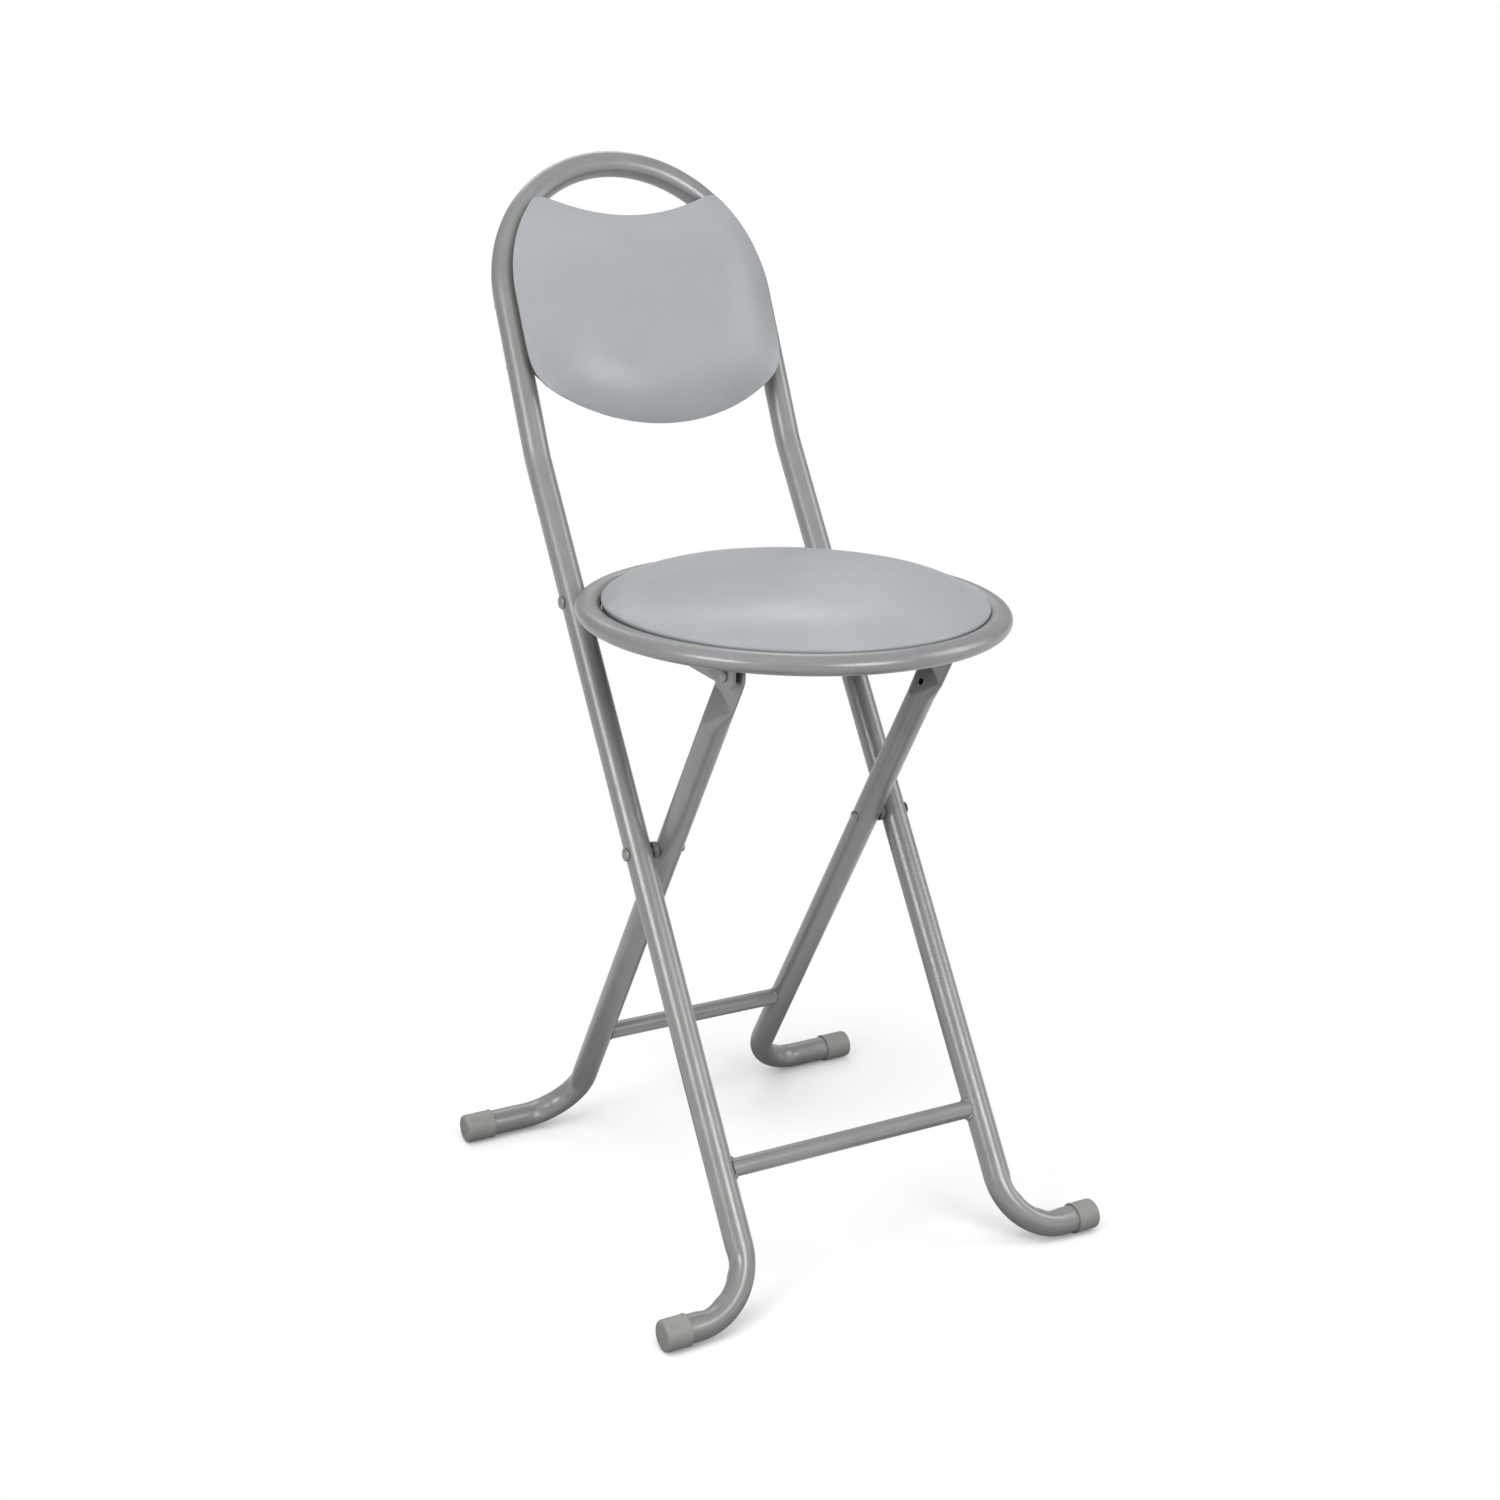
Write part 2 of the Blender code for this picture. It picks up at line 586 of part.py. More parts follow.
def bracket_outline():
    """Side view of a bracket's web in the seat's frame, from the seat rivet to the catch pin."""
    front = in_seat(SEAT_PIVOT)
    rear = in_seat(CATCH)
    flange_top = BRACKET_THICK - FLANGE_DROP
    corner = front + Vector((0, BRACKET_CORNER_R - BRACKET_FRONT, BRACKET_CORNER_R - BRACKET_DROP))
    reach = rear - corner
    slope = math.atan2(reach.z, reach.y) - math.asin((HOOK_R - BRACKET_CORNER_R) / reach.length)
    ring_inside = math.sqrt((RING_R - RING_HALF_WIDTH) ** 2 - BRACKET_OUT ** 2)
    under_ring = -RING_HALF_HEIGHT - CLEAR
    over = math.asin(min((under_ring - rear.z) / HOOK_R, 1.0))
    step = ring_inside - RING_HALF_WIDTH
    points = [(front.y - BRACKET_FRONT, flange_top), (step, flange_top), (step + BRACKET_THICK, under_ring)]
    points += arc(rear, HOOK_R, math.pi - over, slope - math.pi / 2, HOOK_STEPS)
    points += arc(corner, BRACKET_CORNER_R, slope - math.pi / 2, -math.pi, BRACKET_CORNER_STEPS)
    return points


def make_bracket(side, label, body):
    """An angle bracket under the seat: an upright web outside the leg and a flange under the seat board."""
    name = f"seat_bracket_{label}"
    web = outline_mesh(name, [(y, z) for y, z in reversed(bracket_outline())], BRACKET_THICK)
    to_side = Matrix(((0, 0, 1, 0), (1, 0, 0, 0), (0, 1, 0, 0), (0, 0, 0, 1)))
    web.transform(Matrix.Translation((side * (BRACKET_IN + BRACKET_THICK / 2), 0, 0)) @ to_side)
    bracket = place(name, web, SEAT_FRAME, PAINT)
    outer_x = BRACKET_IN + FLANGE_WIDTH
    front_y, rear_y = flange_ends()
    low = [min(side * BRACKET_IN, side * outer_x), front_y, -FLANGE_DROP]
    high = [max(side * BRACKET_IN, side * outer_x), rear_y, BRACKET_THICK - FLANGE_DROP]
    flange = cutter(name + "_flange", block_mesh(name + "_flange", low, high), SEAT_FRAME)
    cut(bracket, [flange], "UNION")
    rear = in_seat(CATCH)
    front = in_seat(SEAT_PIVOT)
    turn = Matrix.Rotation(math.pi / 2, 4, "Y")
    pin = Matrix.Translation((side * BRACKET_IN, rear.y, rear.z)) @ turn
    hole = Matrix.Translation((side * BRACKET_IN, front.y, front.z)) @ turn
    gap = RIVET_R + HOLE_CLEAR
    tools = [drill(name + "_rivet_hole", gap, 4 * BRACKET_THICK, SEAT_FRAME @ hole),
             drill(name + "_hook_seat", gap, 4 * BRACKET_THICK, SEAT_FRAME @ pin)]
    mouth = block_mesh(name + "_mouth", (-2 * BRACKET_THICK, -gap, -3 * HOOK_R), (2 * BRACKET_THICK, gap, 0))
    aim = Matrix.Rotation(-(math.pi / 2 - NOTCH_ANGLE) - SEAT_TILT, 4, "X")
    tools.append(cutter(name + "_mouth", mouth,
                        SEAT_FRAME @ Matrix.Translation((side * BRACKET_IN, rear.y, rear.z)) @ aim))
    for number, (x, y) in enumerate(seat_screw_places()):
        if x * side > 0:
            frame = SEAT_FRAME @ Matrix.Translation((x, y, -FLANGE_DROP))
            tools.append(drill(f"{name}_screw_hole_{number}", SCREW_R + HOLE_CLEAR, 4 * BRACKET_THICK, frame))
    cut(bracket, tools)
    body.append(bracket)


def ring_mesh(name, wall, sides):
    """A ring of flat-oval bar, as far inside the ring tube's face as the wall says."""
    half_width = RING_HALF_WIDTH - wall
    bpy.ops.mesh.primitive_torus_add(major_radius=RING_R, minor_radius=half_width,
                                     major_segments=RING_STEPS, minor_segments=sides)
    obj = bpy.context.object
    mesh = obj.data
    bpy.data.objects.remove(obj)
    mesh.name = name
    mesh.transform(Matrix.Scale((RING_HALF_HEIGHT - wall) / half_width, 4, Vector((0, 0, 1))))
    return smooth(mesh)


def make_seat(body):
    ring = place("seat_ring", ring_mesh("seat_ring", 0, TUBE_SIDES), SEAT_FRAME, PAINT)
    bore = cutter("ring_bore", ring_mesh("ring_bore", RING_WALL, BORE_SIDES), SEAT_FRAME)
    vent_at = SEAT_FRAME @ Matrix.Translation((0, -RING_R, -RING_HALF_HEIGHT))
    cut(ring, [bore, drill("ring_vent", RING_VENT_R, 1.2 * RING_HALF_HEIGHT, vent_at)])
    body.append(ring)

    board_r = RING_R - RING_HALF_WIDTH - BOARD_EDGE_GAP
    profile = [(0, BOARD_Z + BOARD_THICK), (board_r, BOARD_Z + BOARD_THICK), (board_r, BOARD_Z), (0, BOARD_Z)]
    board = place("seat_board", turned_mesh("seat_board", profile, CUSHION_STEPS), SEAT_FRAME, WOOD)
    tools = []
    depth = 2 * (SEAT_SCREW_BITE + CLEAR)
    for number, (x, y) in enumerate(seat_screw_places()):
        frame = SEAT_FRAME @ Matrix.Translation((x, y, BOARD_Z))
        tools.append(drill(f"seat_board_hole_{number}", SCREW_R + HOLE_CLEAR, depth, frame))
    cut(board, tools)
    body.append(board)

    wide = RING_R - RING_HALF_WIDTH * math.cos(CUSHION_MEET) - CUSHION_EDGE_GAP
    profile = [(0, CUSHION_BULGE_Z + CUSHION_CROWN)]
    for share in CUSHION_RINGS:
        profile.append((wide * share, CUSHION_BULGE_Z + CUSHION_CROWN * (1 - share ** CUSHION_SQUARE)))
    profile += [(wide, CUSHION_BULGE_Z), (board_r, (CUSHION_Z + CUSHION_BULGE_Z) / 2),
                (board_r, CUSHION_Z), (0, CUSHION_Z)]
    body.append(place("seat_cushion", turned_mesh("seat_cushion", profile, CUSHION_STEPS), SEAT_FRAME, VINYL))

    down = Matrix.Rotation(math.pi, 4, "X")
    under = -FLANGE_DROP - CLEAR
    frames = [SEAT_FRAME @ Matrix.Translation((x, y, under)) @ down for x, y in seat_screw_places()]
    shank = BRACKET_THICK + 2 * CLEAR + SEAT_SCREW_BITE
    make_screws("seat_screw", shank, frames, STEEL, body)


# Backrest
def pad_reach(angle):
    """Distance from the pad's middle to its edge in one direction, with its corners drawn in."""
    middle = (PAD_BOTTOM + PAD_TOP) / 2
    along = (math.cos(angle), math.sin(angle))

    def to_circle(height, radius, far):
        offset = middle - height
        share = offset * along[1]
        root = share * share + radius * radius - offset * offset
        if root < 0:
            return None
        reach = -share + math.sqrt(root) if far else -share - math.sqrt(root)
        return reach if reach > 0 else None

    reaches = [to_circle(PAD_BOTTOM + PAD_BOTTOM_R, PAD_BOTTOM_R, True)]
    upright = PAD_SIDE / max(abs(along[0]), 1e-6)
    if middle + upright * along[1] > BACK_STRAIGHT:
        upright = to_circle(BACK_STRAIGHT, PAD_SIDE, True)
    reaches.append(upright)
    if along[1] > 0:
        reaches.append(to_circle(PAD_TOP + PAD_TOP_R, PAD_TOP_R, False))
    sharp = math.log(2) / PAD_CORNER
    known = [reach for reach in reaches if reach is not None]
    nearest = min(known)
    return nearest - math.log(sum(math.exp(-sharp * (reach - nearest)) for reach in known)) / sharp


def pad_outline(scale):
    """The pad's edge as points across and up, drawn in towards its middle by the scale."""
    points = []
    for number in range(PAD_POINTS):
        angle = 2 * math.pi * number / PAD_POINTS
        reach = pad_reach(angle) * scale
        points.append((reach * math.cos(angle), reach * math.sin(angle)))
    return points


def back_frame(out):
    """A frame at the pad's middle: X across, Y up the frame, Z forward of it."""
    middle = (PAD_BOTTOM + PAD_TOP) / 2
    across = Vector((1, 0, 0))
    turn = Matrix((across, BACK_DIR, BACK_OUT)).transposed().to_4x4()
    return Matrix.Translation(PIVOT + back_point(0, middle, out)) @ turn


def cushion_mesh(name):
    """Rings of the pad's outline, drawn in towards its middle as the crown rises."""
    mesh = bpy.data.meshes.new(name)
    bm = bmesh.new()
    levels = [(1 - PAD_TUCK / PAD_SIDE, 0.0), (1 - PAD_TUCK_MIDDLE / PAD_SIDE, PAD_RISE * PAD_TUCK_SHARE),
              (1.0, PAD_RISE)]
    for share in PAD_RINGS:
        levels.append((share, PAD_RISE + PAD_CROWN * (1 - share ** PAD_SQUARE)))
    rings = [[bm.verts.new((x, y, height)) for x, y in pad_outline(share)] for share, height in levels]
    for lower, upper in zip(rings, rings[1:]):
        for i in range(PAD_POINTS):
            j = (i + 1) % PAD_POINTS
            bm.faces.new((lower[i], lower[j], upper[j], upper[i]))
    bm.faces.new(list(reversed(rings[0])))
    top = bm.verts.new((0, 0, PAD_RISE + PAD_CROWN))
    for i in range(PAD_POINTS):
        bm.faces.new((rings[-1][i], rings[-1][(i + 1) % PAD_POINTS], top))
    bm.to_mesh(mesh)
    bm.free()
    return smooth(mesh, 50)


def make_backrest(body):
    outline = pad_outline(BACK_BOARD_SCALE)
    board = place("backrest_board", outline_mesh("backrest_board", outline, BACK_BOARD_THICK),
                  back_frame(BACK_BOARD_OUT + BACK_BOARD_THICK / 2), WOOD)
    tools = []
    for number, frame in enumerate(back_screw_frames()):
        tools.append(drill(f"back_board_hole_{number}", SCREW_R + HOLE_CLEAR, 6 * TUBE_R, frame))
    cut(board, tools)
    body.append(board)
    pad = place("backrest_cushion", cushion_mesh("backrest_cushion"),
                back_frame(BACK_BOARD_OUT + BACK_BOARD_THICK + CLEAR), VINYL)
    body.append(pad)
    shank = TUBE_R + CLEAR + BACK_BOARD_OUT / math.cos(BACK_SCREW_TURN) + BACK_SCREW_BITE
    make_screws("backrest_screw", shank, back_screw_frames(), STEEL, body)


def joint_empty(name, point):
    """An empty on a joint's axis, which the pieces that turn with it are parented to."""
    empty = bpy.data.objects.new(name, None)
    empty.empty_display_size = JOINT_MARK
    empty.matrix_world = at_pivot(point)
    parts.objects.link(empty)
    return empty


def attach(children, parent):
    bpy.context.view_layer.update()
    for child in children:
        child.parent = parent
        child.matrix_parent_inverse = parent.matrix_world.inverted()


clear_scene()
frame_body = [make_long_frame()]
leg_body = []
seat_body = []
make_crossbar("front_crossbar", RAIL_X, RAIL_DIR, FRONT_BAR_DROP, frame_body)
make_crossbar("rear_crossbar", LEG_X, LEG_DIR, REAR_BAR_DROP, leg_body)
rail_outside = RAIL_X + TUBE_R + CLEAR
leg_inside = LEG_X - TUBE_R - CLEAR
tab_inside = LEG_X - FLAT_THICK / 2 - CLEAR
for side, label in ((-1, "left"), (1, "right")):
    make_leg(side, label, leg_body)
    make_bracket(side, label, seat_body)
    make_cap(f"foot_cap_front_{label}", side, RAIL_X, RAIL_DIR, frame_body)
    make_cap(f"foot_cap_rear_{label}", side, LEG_X, LEG_DIR, leg_body)
    make_rivet(f"pivot_rivet_{label}", side, Vector((0, 0, 0)), rail_outside, leg_inside, STEEL, frame_body)
    make_bush(f"pivot_bush_{label}", side, Vector((0, 0, 0)), LEG_X + TUBE_R, RAIL_X - TUBE_R, frame_body)
    make_bush(f"seat_bush_{label}", side, SEAT_PIVOT, FLAT_OUT, BRACKET_IN, leg_body)
    make_rivet(f"catch_pin_{label}", side, CATCH, rail_outside, BRACKET_IN, STEEL, frame_body, tail=False)
    make_rivet(f"seat_rivet_{label}", side, SEAT_PIVOT, BRACKET_OUT + CLEAR, tab_inside, STEEL, leg_body)
make_seat(seat_body)
make_backrest(frame_body)
main_axis = joint_empty("frame_fold_axis", Vector((0, 0, 0)))
seat_axis = joint_empty("seat_tilt_axis", SEAT_PIVOT)
attach([seat_axis] + leg_body, main_axis)
attach(seat_body, seat_axis)
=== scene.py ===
import math

import bmesh
import bpy
from mathutils import Matrix, Vector, noise


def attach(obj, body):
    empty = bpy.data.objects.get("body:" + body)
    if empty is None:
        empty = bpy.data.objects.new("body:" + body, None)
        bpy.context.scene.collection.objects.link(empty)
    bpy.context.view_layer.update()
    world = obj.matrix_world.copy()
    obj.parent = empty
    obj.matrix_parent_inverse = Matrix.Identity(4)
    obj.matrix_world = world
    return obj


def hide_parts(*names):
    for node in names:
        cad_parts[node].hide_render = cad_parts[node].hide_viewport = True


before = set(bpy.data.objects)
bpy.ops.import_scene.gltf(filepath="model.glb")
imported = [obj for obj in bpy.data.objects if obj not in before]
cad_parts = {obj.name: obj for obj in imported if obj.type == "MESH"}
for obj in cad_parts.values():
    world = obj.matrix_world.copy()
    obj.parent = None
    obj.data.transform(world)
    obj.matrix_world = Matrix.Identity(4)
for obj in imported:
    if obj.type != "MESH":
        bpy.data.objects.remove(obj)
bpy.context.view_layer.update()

# Sizes in metres. The side view's origin is the main pivot, where rails and legs cross
PIVOT = Vector((0.0, -0.041062, 0.276695))
LEAN = math.radians(32.4)  # lower rails and legs, from upright
BACK_LEAN = math.radians(24.6)  # the frame above its bend, from upright
RAIL_X = 0.1040  # middle plane to a rail's axis
LEG_X = 0.0805
TUBE_R = 0.0095
LOWER_LENGTH = 0.3147  # pivot down to the corner of a foot bend
RAIL_BEND_DIST = 0.2978  # pivot up to the rail's bend
RAIL_BEND_R = 0.100
BACK_STRAIGHT = 0.1186  # that bend up to the start of the arch
FOOT_BEND_R = 0.043
FOOT_REACH = 0.1730  # middle plane to the outer face of a cap
CATCH_DIST = 0.1866  # pivot up the rail to the catch pin
SEAT_PIVOT_DIST = 0.1713  # pivot up the leg to the seat rivet
FRONT_BAR_DROP = 0.2225  # pivot down to a crossbar
REAR_BAR_DROP = 0.2182
CROSSBAR_R = 0.00635
CROSSBAR_WALL = 0.0010
BAR_GAP = 0.0005  # crossbar's end to the tube
BAR_HOLLOW = 0.0060  # depth of the hollow modelled in its end
FLAT_START = 0.1260  # pivot up the leg to where its pressed end begins
FLAT_FULL = 0.1512  # and to where it is fully flat
PRESS_TOP = 0.1560  # and to the last of its close rings
FLAT_CREASE = 0.0042  # how much earlier it is flat at its edges than in its middle
PRESS_RINGS = 36
FLAT_THICK = 0.0026
FLAT_HALF_WIDTH = 0.0143  # also the radius of its round end
FLAT_OUT = LEG_X + FLAT_THICK / 2
BEND_PRESS = 0.00150  # depth of the flat that the bending tool leaves in a foot bend
BEND_SWELL = 0.00015
VENT_DIST = 0.1388
VENT_R = 0.0023
CAP_R = 0.0106
FRONT_CAP_LENGTH = 0.0180
REAR_CAP_LENGTH = 0.0225
CAP_END = 0.0025  # thickness of a cap's closed end
CAP_LIP = 0.00025  # how far the lip at its open end stands out
BRACKET_THICK = 0.0025
BRACKET_IN = 0.0857  # middle plane to the web's inner face
BRACKET_OUT = 0.0882
BRACKET_FRONT = 0.0127  # seat rivet forward to the web's front edge
BRACKET_DROP = 0.0076  # seat rivet down to its lower edge
BRACKET_CORNER_R = 0.0055
BRACKET_EDGE = 0.00045  # rounding of the pressed edges
HOOK_R = 0.0090
HOOK_MOUTH = math.radians(-115.754)  # the way the hook opens: 0 is back, -90 down
FLANGE_WIDTH = 0.0160
FLANGE_DROP = 0.0072  # ring's middle level down to the flange's underside
RING_R = 0.1393  # to the middle of the ring's tube
RING_HALF_WIDTH = 0.0088
RING_HALF_HEIGHT = 0.0069
SEAT_RISE = 0.0194  # seat rivet up to the ring's middle
SEAT_BACK = 0.063451  # and back to it
SEAT_RIVET_AT = (-SEAT_BACK, -SEAT_RISE)
CATCH_AT = (0.128681, -0.014033)  # the catch pin, back and up from the ring's middle
BOARD_THICK = 0.0060
BOARD_Z = 0.0003 + BRACKET_THICK - FLANGE_DROP  # underside of the seat board
RIVET_R = 0.0030
CLEAR = 0.0003  # between neighbouring pieces
WELD_HALF = 12  # points of a weld bead on each side of its middle

RAIL_DIR = Vector((0, math.sin(LEAN), math.cos(LEAN)))
LEG_DIR = Vector((0, -math.sin(LEAN), math.cos(LEAN)))
BACK_DIR = Vector((0, math.sin(BACK_LEAN), math.cos(BACK_LEAN)))
BACK_OUT = Vector((0, -math.cos(BACK_LEAN), math.sin(BACK_LEAN)))
RAIL_BEND = RAIL_DIR * RAIL_BEND_DIST
CATCH = RAIL_DIR * CATCH_DIST
SEAT_PIVOT = LEG_DIR * SEAT_PIVOT_DIST
SEAT_TILT = math.radians(2.25375)
SEAT_DIR = Vector((0, math.cos(SEAT_TILT), math.sin(SEAT_TILT)))
SEAT_UP = Vector((0, -math.sin(SEAT_TILT), math.cos(SEAT_TILT)))
SEAT_FRAME = (Matrix.Translation(PIVOT + SEAT_PIVOT + SEAT_DIR * SEAT_BACK + SEAT_UP * SEAT_RISE)
              @ Matrix.Rotation(SEAT_TILT, 4, "X"))


def srgb(red, green, blue):
    """A screen colour as the linear values that a shader takes."""
    levels = [value / 255 for value in (red, green, blue)]
    return tuple(v / 12.92 if v <= 0.04045 else ((v + 0.055) / 1.055) ** 2.4 for v in levels) + (1.0,)


def grey(level):
    return (level, level, level, 1)


def smoothstep(low, high, value):
    share = min(max((value - low) / (high - low), 0.0), 1.0)
    return share * share * (3 - 2 * share)


# Materials
class Nodes:
    """A material under construction: every texture reads the object's own coordinates, in metres."""

    def __init__(self, name):
        self.material = bpy.data.materials.new(name)
        self.material.use_nodes = True
        self.tree = self.material.node_tree
        self.shader = self.tree.nodes["Principled BSDF"]
        self.place = self.add("ShaderNodeTexCoord").outputs["Object"]

    def add(self, kind, **values):
        node = self.tree.nodes.new(kind)
        for name, value in values.items():
            setattr(node, name, value)
        return node

    def link(self, source, target):
        self.tree.links.new(source, target)

    def feed(self, socket, value):
        """Give a socket a plain value, or link a source to it."""
        if isinstance(value, (int, float, tuple)):
            socket.default_value = value
        else:
            self.link(value, socket)

    def noise(self, scale, detail=2.0, roughness=0.5, stretch=None):
        node = self.add("ShaderNodeTexNoise")
        node.inputs["Scale"].default_value = scale
        node.inputs["Detail"].default_value = detail
        node.inputs["Roughness"].default_value = roughness
        place = self.place
        if stretch:
            mapping = self.add("ShaderNodeMapping")
            mapping.inputs["Scale"].default_value = stretch
            self.link(place, mapping.inputs["Vector"])
            place = mapping.outputs["Vector"]
        self.link(place, node.inputs["Vector"])
        return node.outputs["Fac"]

    def cells(self, scale, feature="F1"):
        node = self.add("ShaderNodeTexVoronoi", feature=feature)
        node.inputs["Scale"].default_value = scale
        self.link(self.place, node.inputs["Vector"])
        return node.outputs["Distance"]

    def spread(self, source, low, high, from_low=0.3, from_high=0.7):
        node = self.add("ShaderNodeMapRange")
        limits = {"From Min": from_low, "From Max": from_high, "To Min": low, "To Max": high}
        for name, value in limits.items():
            node.inputs[name].default_value = value
        self.link(source, node.inputs["Value"])
        return node.outputs["Result"]

    def ramp(self, source, stops):
        node = self.add("ShaderNodeValToRGB")
        ramp = node.color_ramp
        while len(ramp.elements) < len(stops):
            ramp.elements.new(0.5)
        for element, (position, colour) in zip(ramp.elements, stops):
            element.position = position
            element.color = colour
        self.link(source, node.inputs["Fac"])
        return node.outputs["Color"]

    def mix(self, factor, first, second, blend="MIX"):
        node = self.add("ShaderNodeMix", data_type="RGBA", blend_type=blend)
        for name, value in (("Factor", factor), ("A", first), ("B", second)):
            self.feed(node.inputs[name], value)
        return node.outputs["Result"]

    def maths(self, operation, first, second):
        node = self.add("ShaderNodeMath", operation=operation)
        for socket, value in zip(node.inputs, (first, second)):
            self.feed(socket, value)
        return node.outputs["Value"]

    def colour(self, source):
        self.link(source, self.shader.inputs["Base Color"])

    def roughness(self, source):
        self.link(source, self.shader.inputs["Roughness"])

    def bump(self, height, strength, distance):
        node = self.add("ShaderNodeBump")
        node.inputs["Strength"].default_value = strength
        node.inputs["Distance"].default_value = distance
        self.link(height, node.inputs["Height"])
        self.link(node.outputs["Normal"], self.shader.inputs["Normal"])

    def plain(self, **values):
        for name, value in values.items():
            self.shader.inputs[name.replace("_", " ").title().replace("Ior", "IOR")].default_value = value


def paint_material():
    """Semi-gloss silver-grey paint: faint flake, a trace of orange peel and a little wear."""
    made = Nodes("silver_paint")
    clouds = made.noise(38, 3)
    body = made.ramp(clouds, [(0.30, srgb(142, 144, 141)), (0.70, srgb(149, 151, 148))])
    flake = made.noise(5200, 1)
    sparkle = made.ramp(flake, [(0.35, grey(0.988)), (0.65, grey(1.010))])
    tinted = made.mix(1.0, body, sparkle, "MULTIPLY")
    wear = made.ramp(made.noise(260, 4, 0.65), [(0.70, grey(0)), (0.80, grey(0.35))])
    made.colour(made.mix(wear, tinted, srgb(166, 168, 164)))
    made.roughness(made.spread(made.noise(120, 3), 0.29, 0.36))
    peel = made.noise(620, 2)
    made.bump(peel, 0.02, 0.00010)
    made.plain(metallic=0.35, specular_ior_level=0.55, coat_weight=0.12, coat_roughness=0.22)
    return made.material


def vinyl_material():
    """Soft-sheen vinyl with a fine pressed grain and faint clouding."""
    made = Nodes("vinyl")
    clouds = made.noise(16, 3, 0.6)
    body = made.ramp(clouds, [(0.30, srgb(156, 160, 163)), (0.70, srgb(162, 166, 169))])
    grain = made.cells(1500)
    pores = made.ramp(grain, [(0.15, grey(1.02)), (0.60, grey(0.95))])
    made.colour(made.mix(1.0, body, pores, "MULTIPLY"))
    made.roughness(made.spread(made.noise(320, 3), 0.28, 0.35))
    wrinkle = made.maths("MULTIPLY", made.noise(700, 3, 0.6), 0.7)
    made.bump(made.maths("ADD", grain, wrinkle), 0.22, 0.00018)
    made.plain(specular_ior_level=0.45, sheen_weight=0.05, sheen_roughness=0.5)
    return made.material


def plastic_material(name, low, high):
    """Matte moulded plastic with a fine speckle and faint flow lines."""
    made = Nodes(name)
    body = made.ramp(made.noise(90, 3), [(0.30, low), (0.70, high)])
    speckle = made.ramp(made.noise(3000, 2), [(0.35, grey(0.96)), (0.65, grey(1.03))])
    made.colour(made.mix(1.0, body, speckle, "MULTIPLY"))
    made.roughness(made.spread(made.noise(400, 2), 0.38, 0.47))
    made.bump(made.noise(1400, 3), 0.12, 0.00010)
    made.plain(specular_ior_level=0.4)
    return made.material


def steel_material():
    """Zinc-coated steel with faint turning marks."""
    made = Nodes("fastener_steel")
    body = made.ramp(made.noise(420, 4, 0.6), [(0.30, srgb(142, 144, 141)), (0.70, srgb(160, 162, 158))])
    made.colour(body)
    made.roughness(made.spread(made.noise(900, 2), 0.30, 0.42))
    made.bump(made.noise(1800, 2), 0.08, 0.00008)
    made.plain(metallic=0.6)
    return made.material


def board_material():
    """Raw pressed fibre board: fine short fibres and soft clouding."""
    made = Nodes("fibre_board")
    clouds = made.noise(30, 4, 0.6)
    body = made.ramp(clouds, [(0.30, srgb(92, 87, 80)), (0.70, srgb(108, 102, 93))])
    fibres = made.noise(900, 4, 0.7, stretch=(1.0, 0.25, 1.0))
    shade = made.ramp(fibres, [(0.35, (0.82, 0.80, 0.78, 1)), (0.65, grey(1.1))])
    made.colour(made.mix(1.0, body, shade, "MULTIPLY"))
    made.roughness(made.spread(fibres, 0.68, 0.82))
    made.bump(fibres, 0.25, 0.0003)
    return made.material


def tube_inside_shade_material():
    """The bare inside of a tube, where no light reaches: near-black painted shade, with faint clouding for
    its scale and rust.
    """
    made = Nodes("tube_inside_painted_shade")
    # Painted shade: the near-black colour stands in for the unlit inside of the hollow tube, which the
    # shallow blind hole cannot give.
    made.colour(made.ramp(made.noise(300, 3), [(0.30, srgb(20, 19, 18)), (0.70, srgb(34, 32, 30))]))
    made.roughness(made.spread(made.noise(500, 2), 0.7, 0.9))
    made.bump(made.noise(900, 3), 0.3, 0.0002)
    return made.material


PAINT = paint_material()
VINYL = vinyl_material()
CAP_PLASTIC = plastic_material("cap_plastic", srgb(139, 141, 137), srgb(145, 147, 143))
BUSH_PLASTIC = plastic_material("bush_plastic", srgb(96, 98, 94), srgb(106, 108, 104))
STEEL = steel_material()
BOARD = board_material()
INSIDE_SHADE = tube_inside_shade_material()


# Mesh helpers
def piece(name, mesh, look, body, replaces=(), angle=40, frame_matrix=None):
    """A finished visible piece: smooth shaded, given its look, its body and the nodes that it stands for."""
    if frame_matrix is not None:
        mesh.transform(frame_matrix)
    mesh.shade_smooth()
    mesh.set_sharp_from_angle(angle=math.radians(angle))
    mesh.materials.clear()
    mesh.materials.append(look)
    obj = bpy.data.objects.new(name, mesh)
    bpy.context.scene.collection.objects.link(obj)
    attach(obj, body)
    if replaces:
        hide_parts(*replaces)
    return obj


def to_mesh(name, bm):
    bmesh.ops.recalc_face_normals(bm, faces=bm.faces)
    mesh = bpy.data.meshes.new(name)
    bm.to_mesh(mesh)
    bm.free()
    return mesh


def bridge(bm, lower, upper):
    """Quads between two closed loops with as many points."""
    for i in range(len(lower)):
        j = (i + 1) % len(lower)
        bm.faces.new((lower[i], lower[j], upper[j], upper[i]))


def level_ring(bm, radius, height, sides):
    """Points at one height, all round Z."""
    return [bm.verts.new((radius * math.cos(2 * math.pi * i / sides),
                          radius * math.sin(2 * math.pi * i / sides), height)) for i in range(sides)]


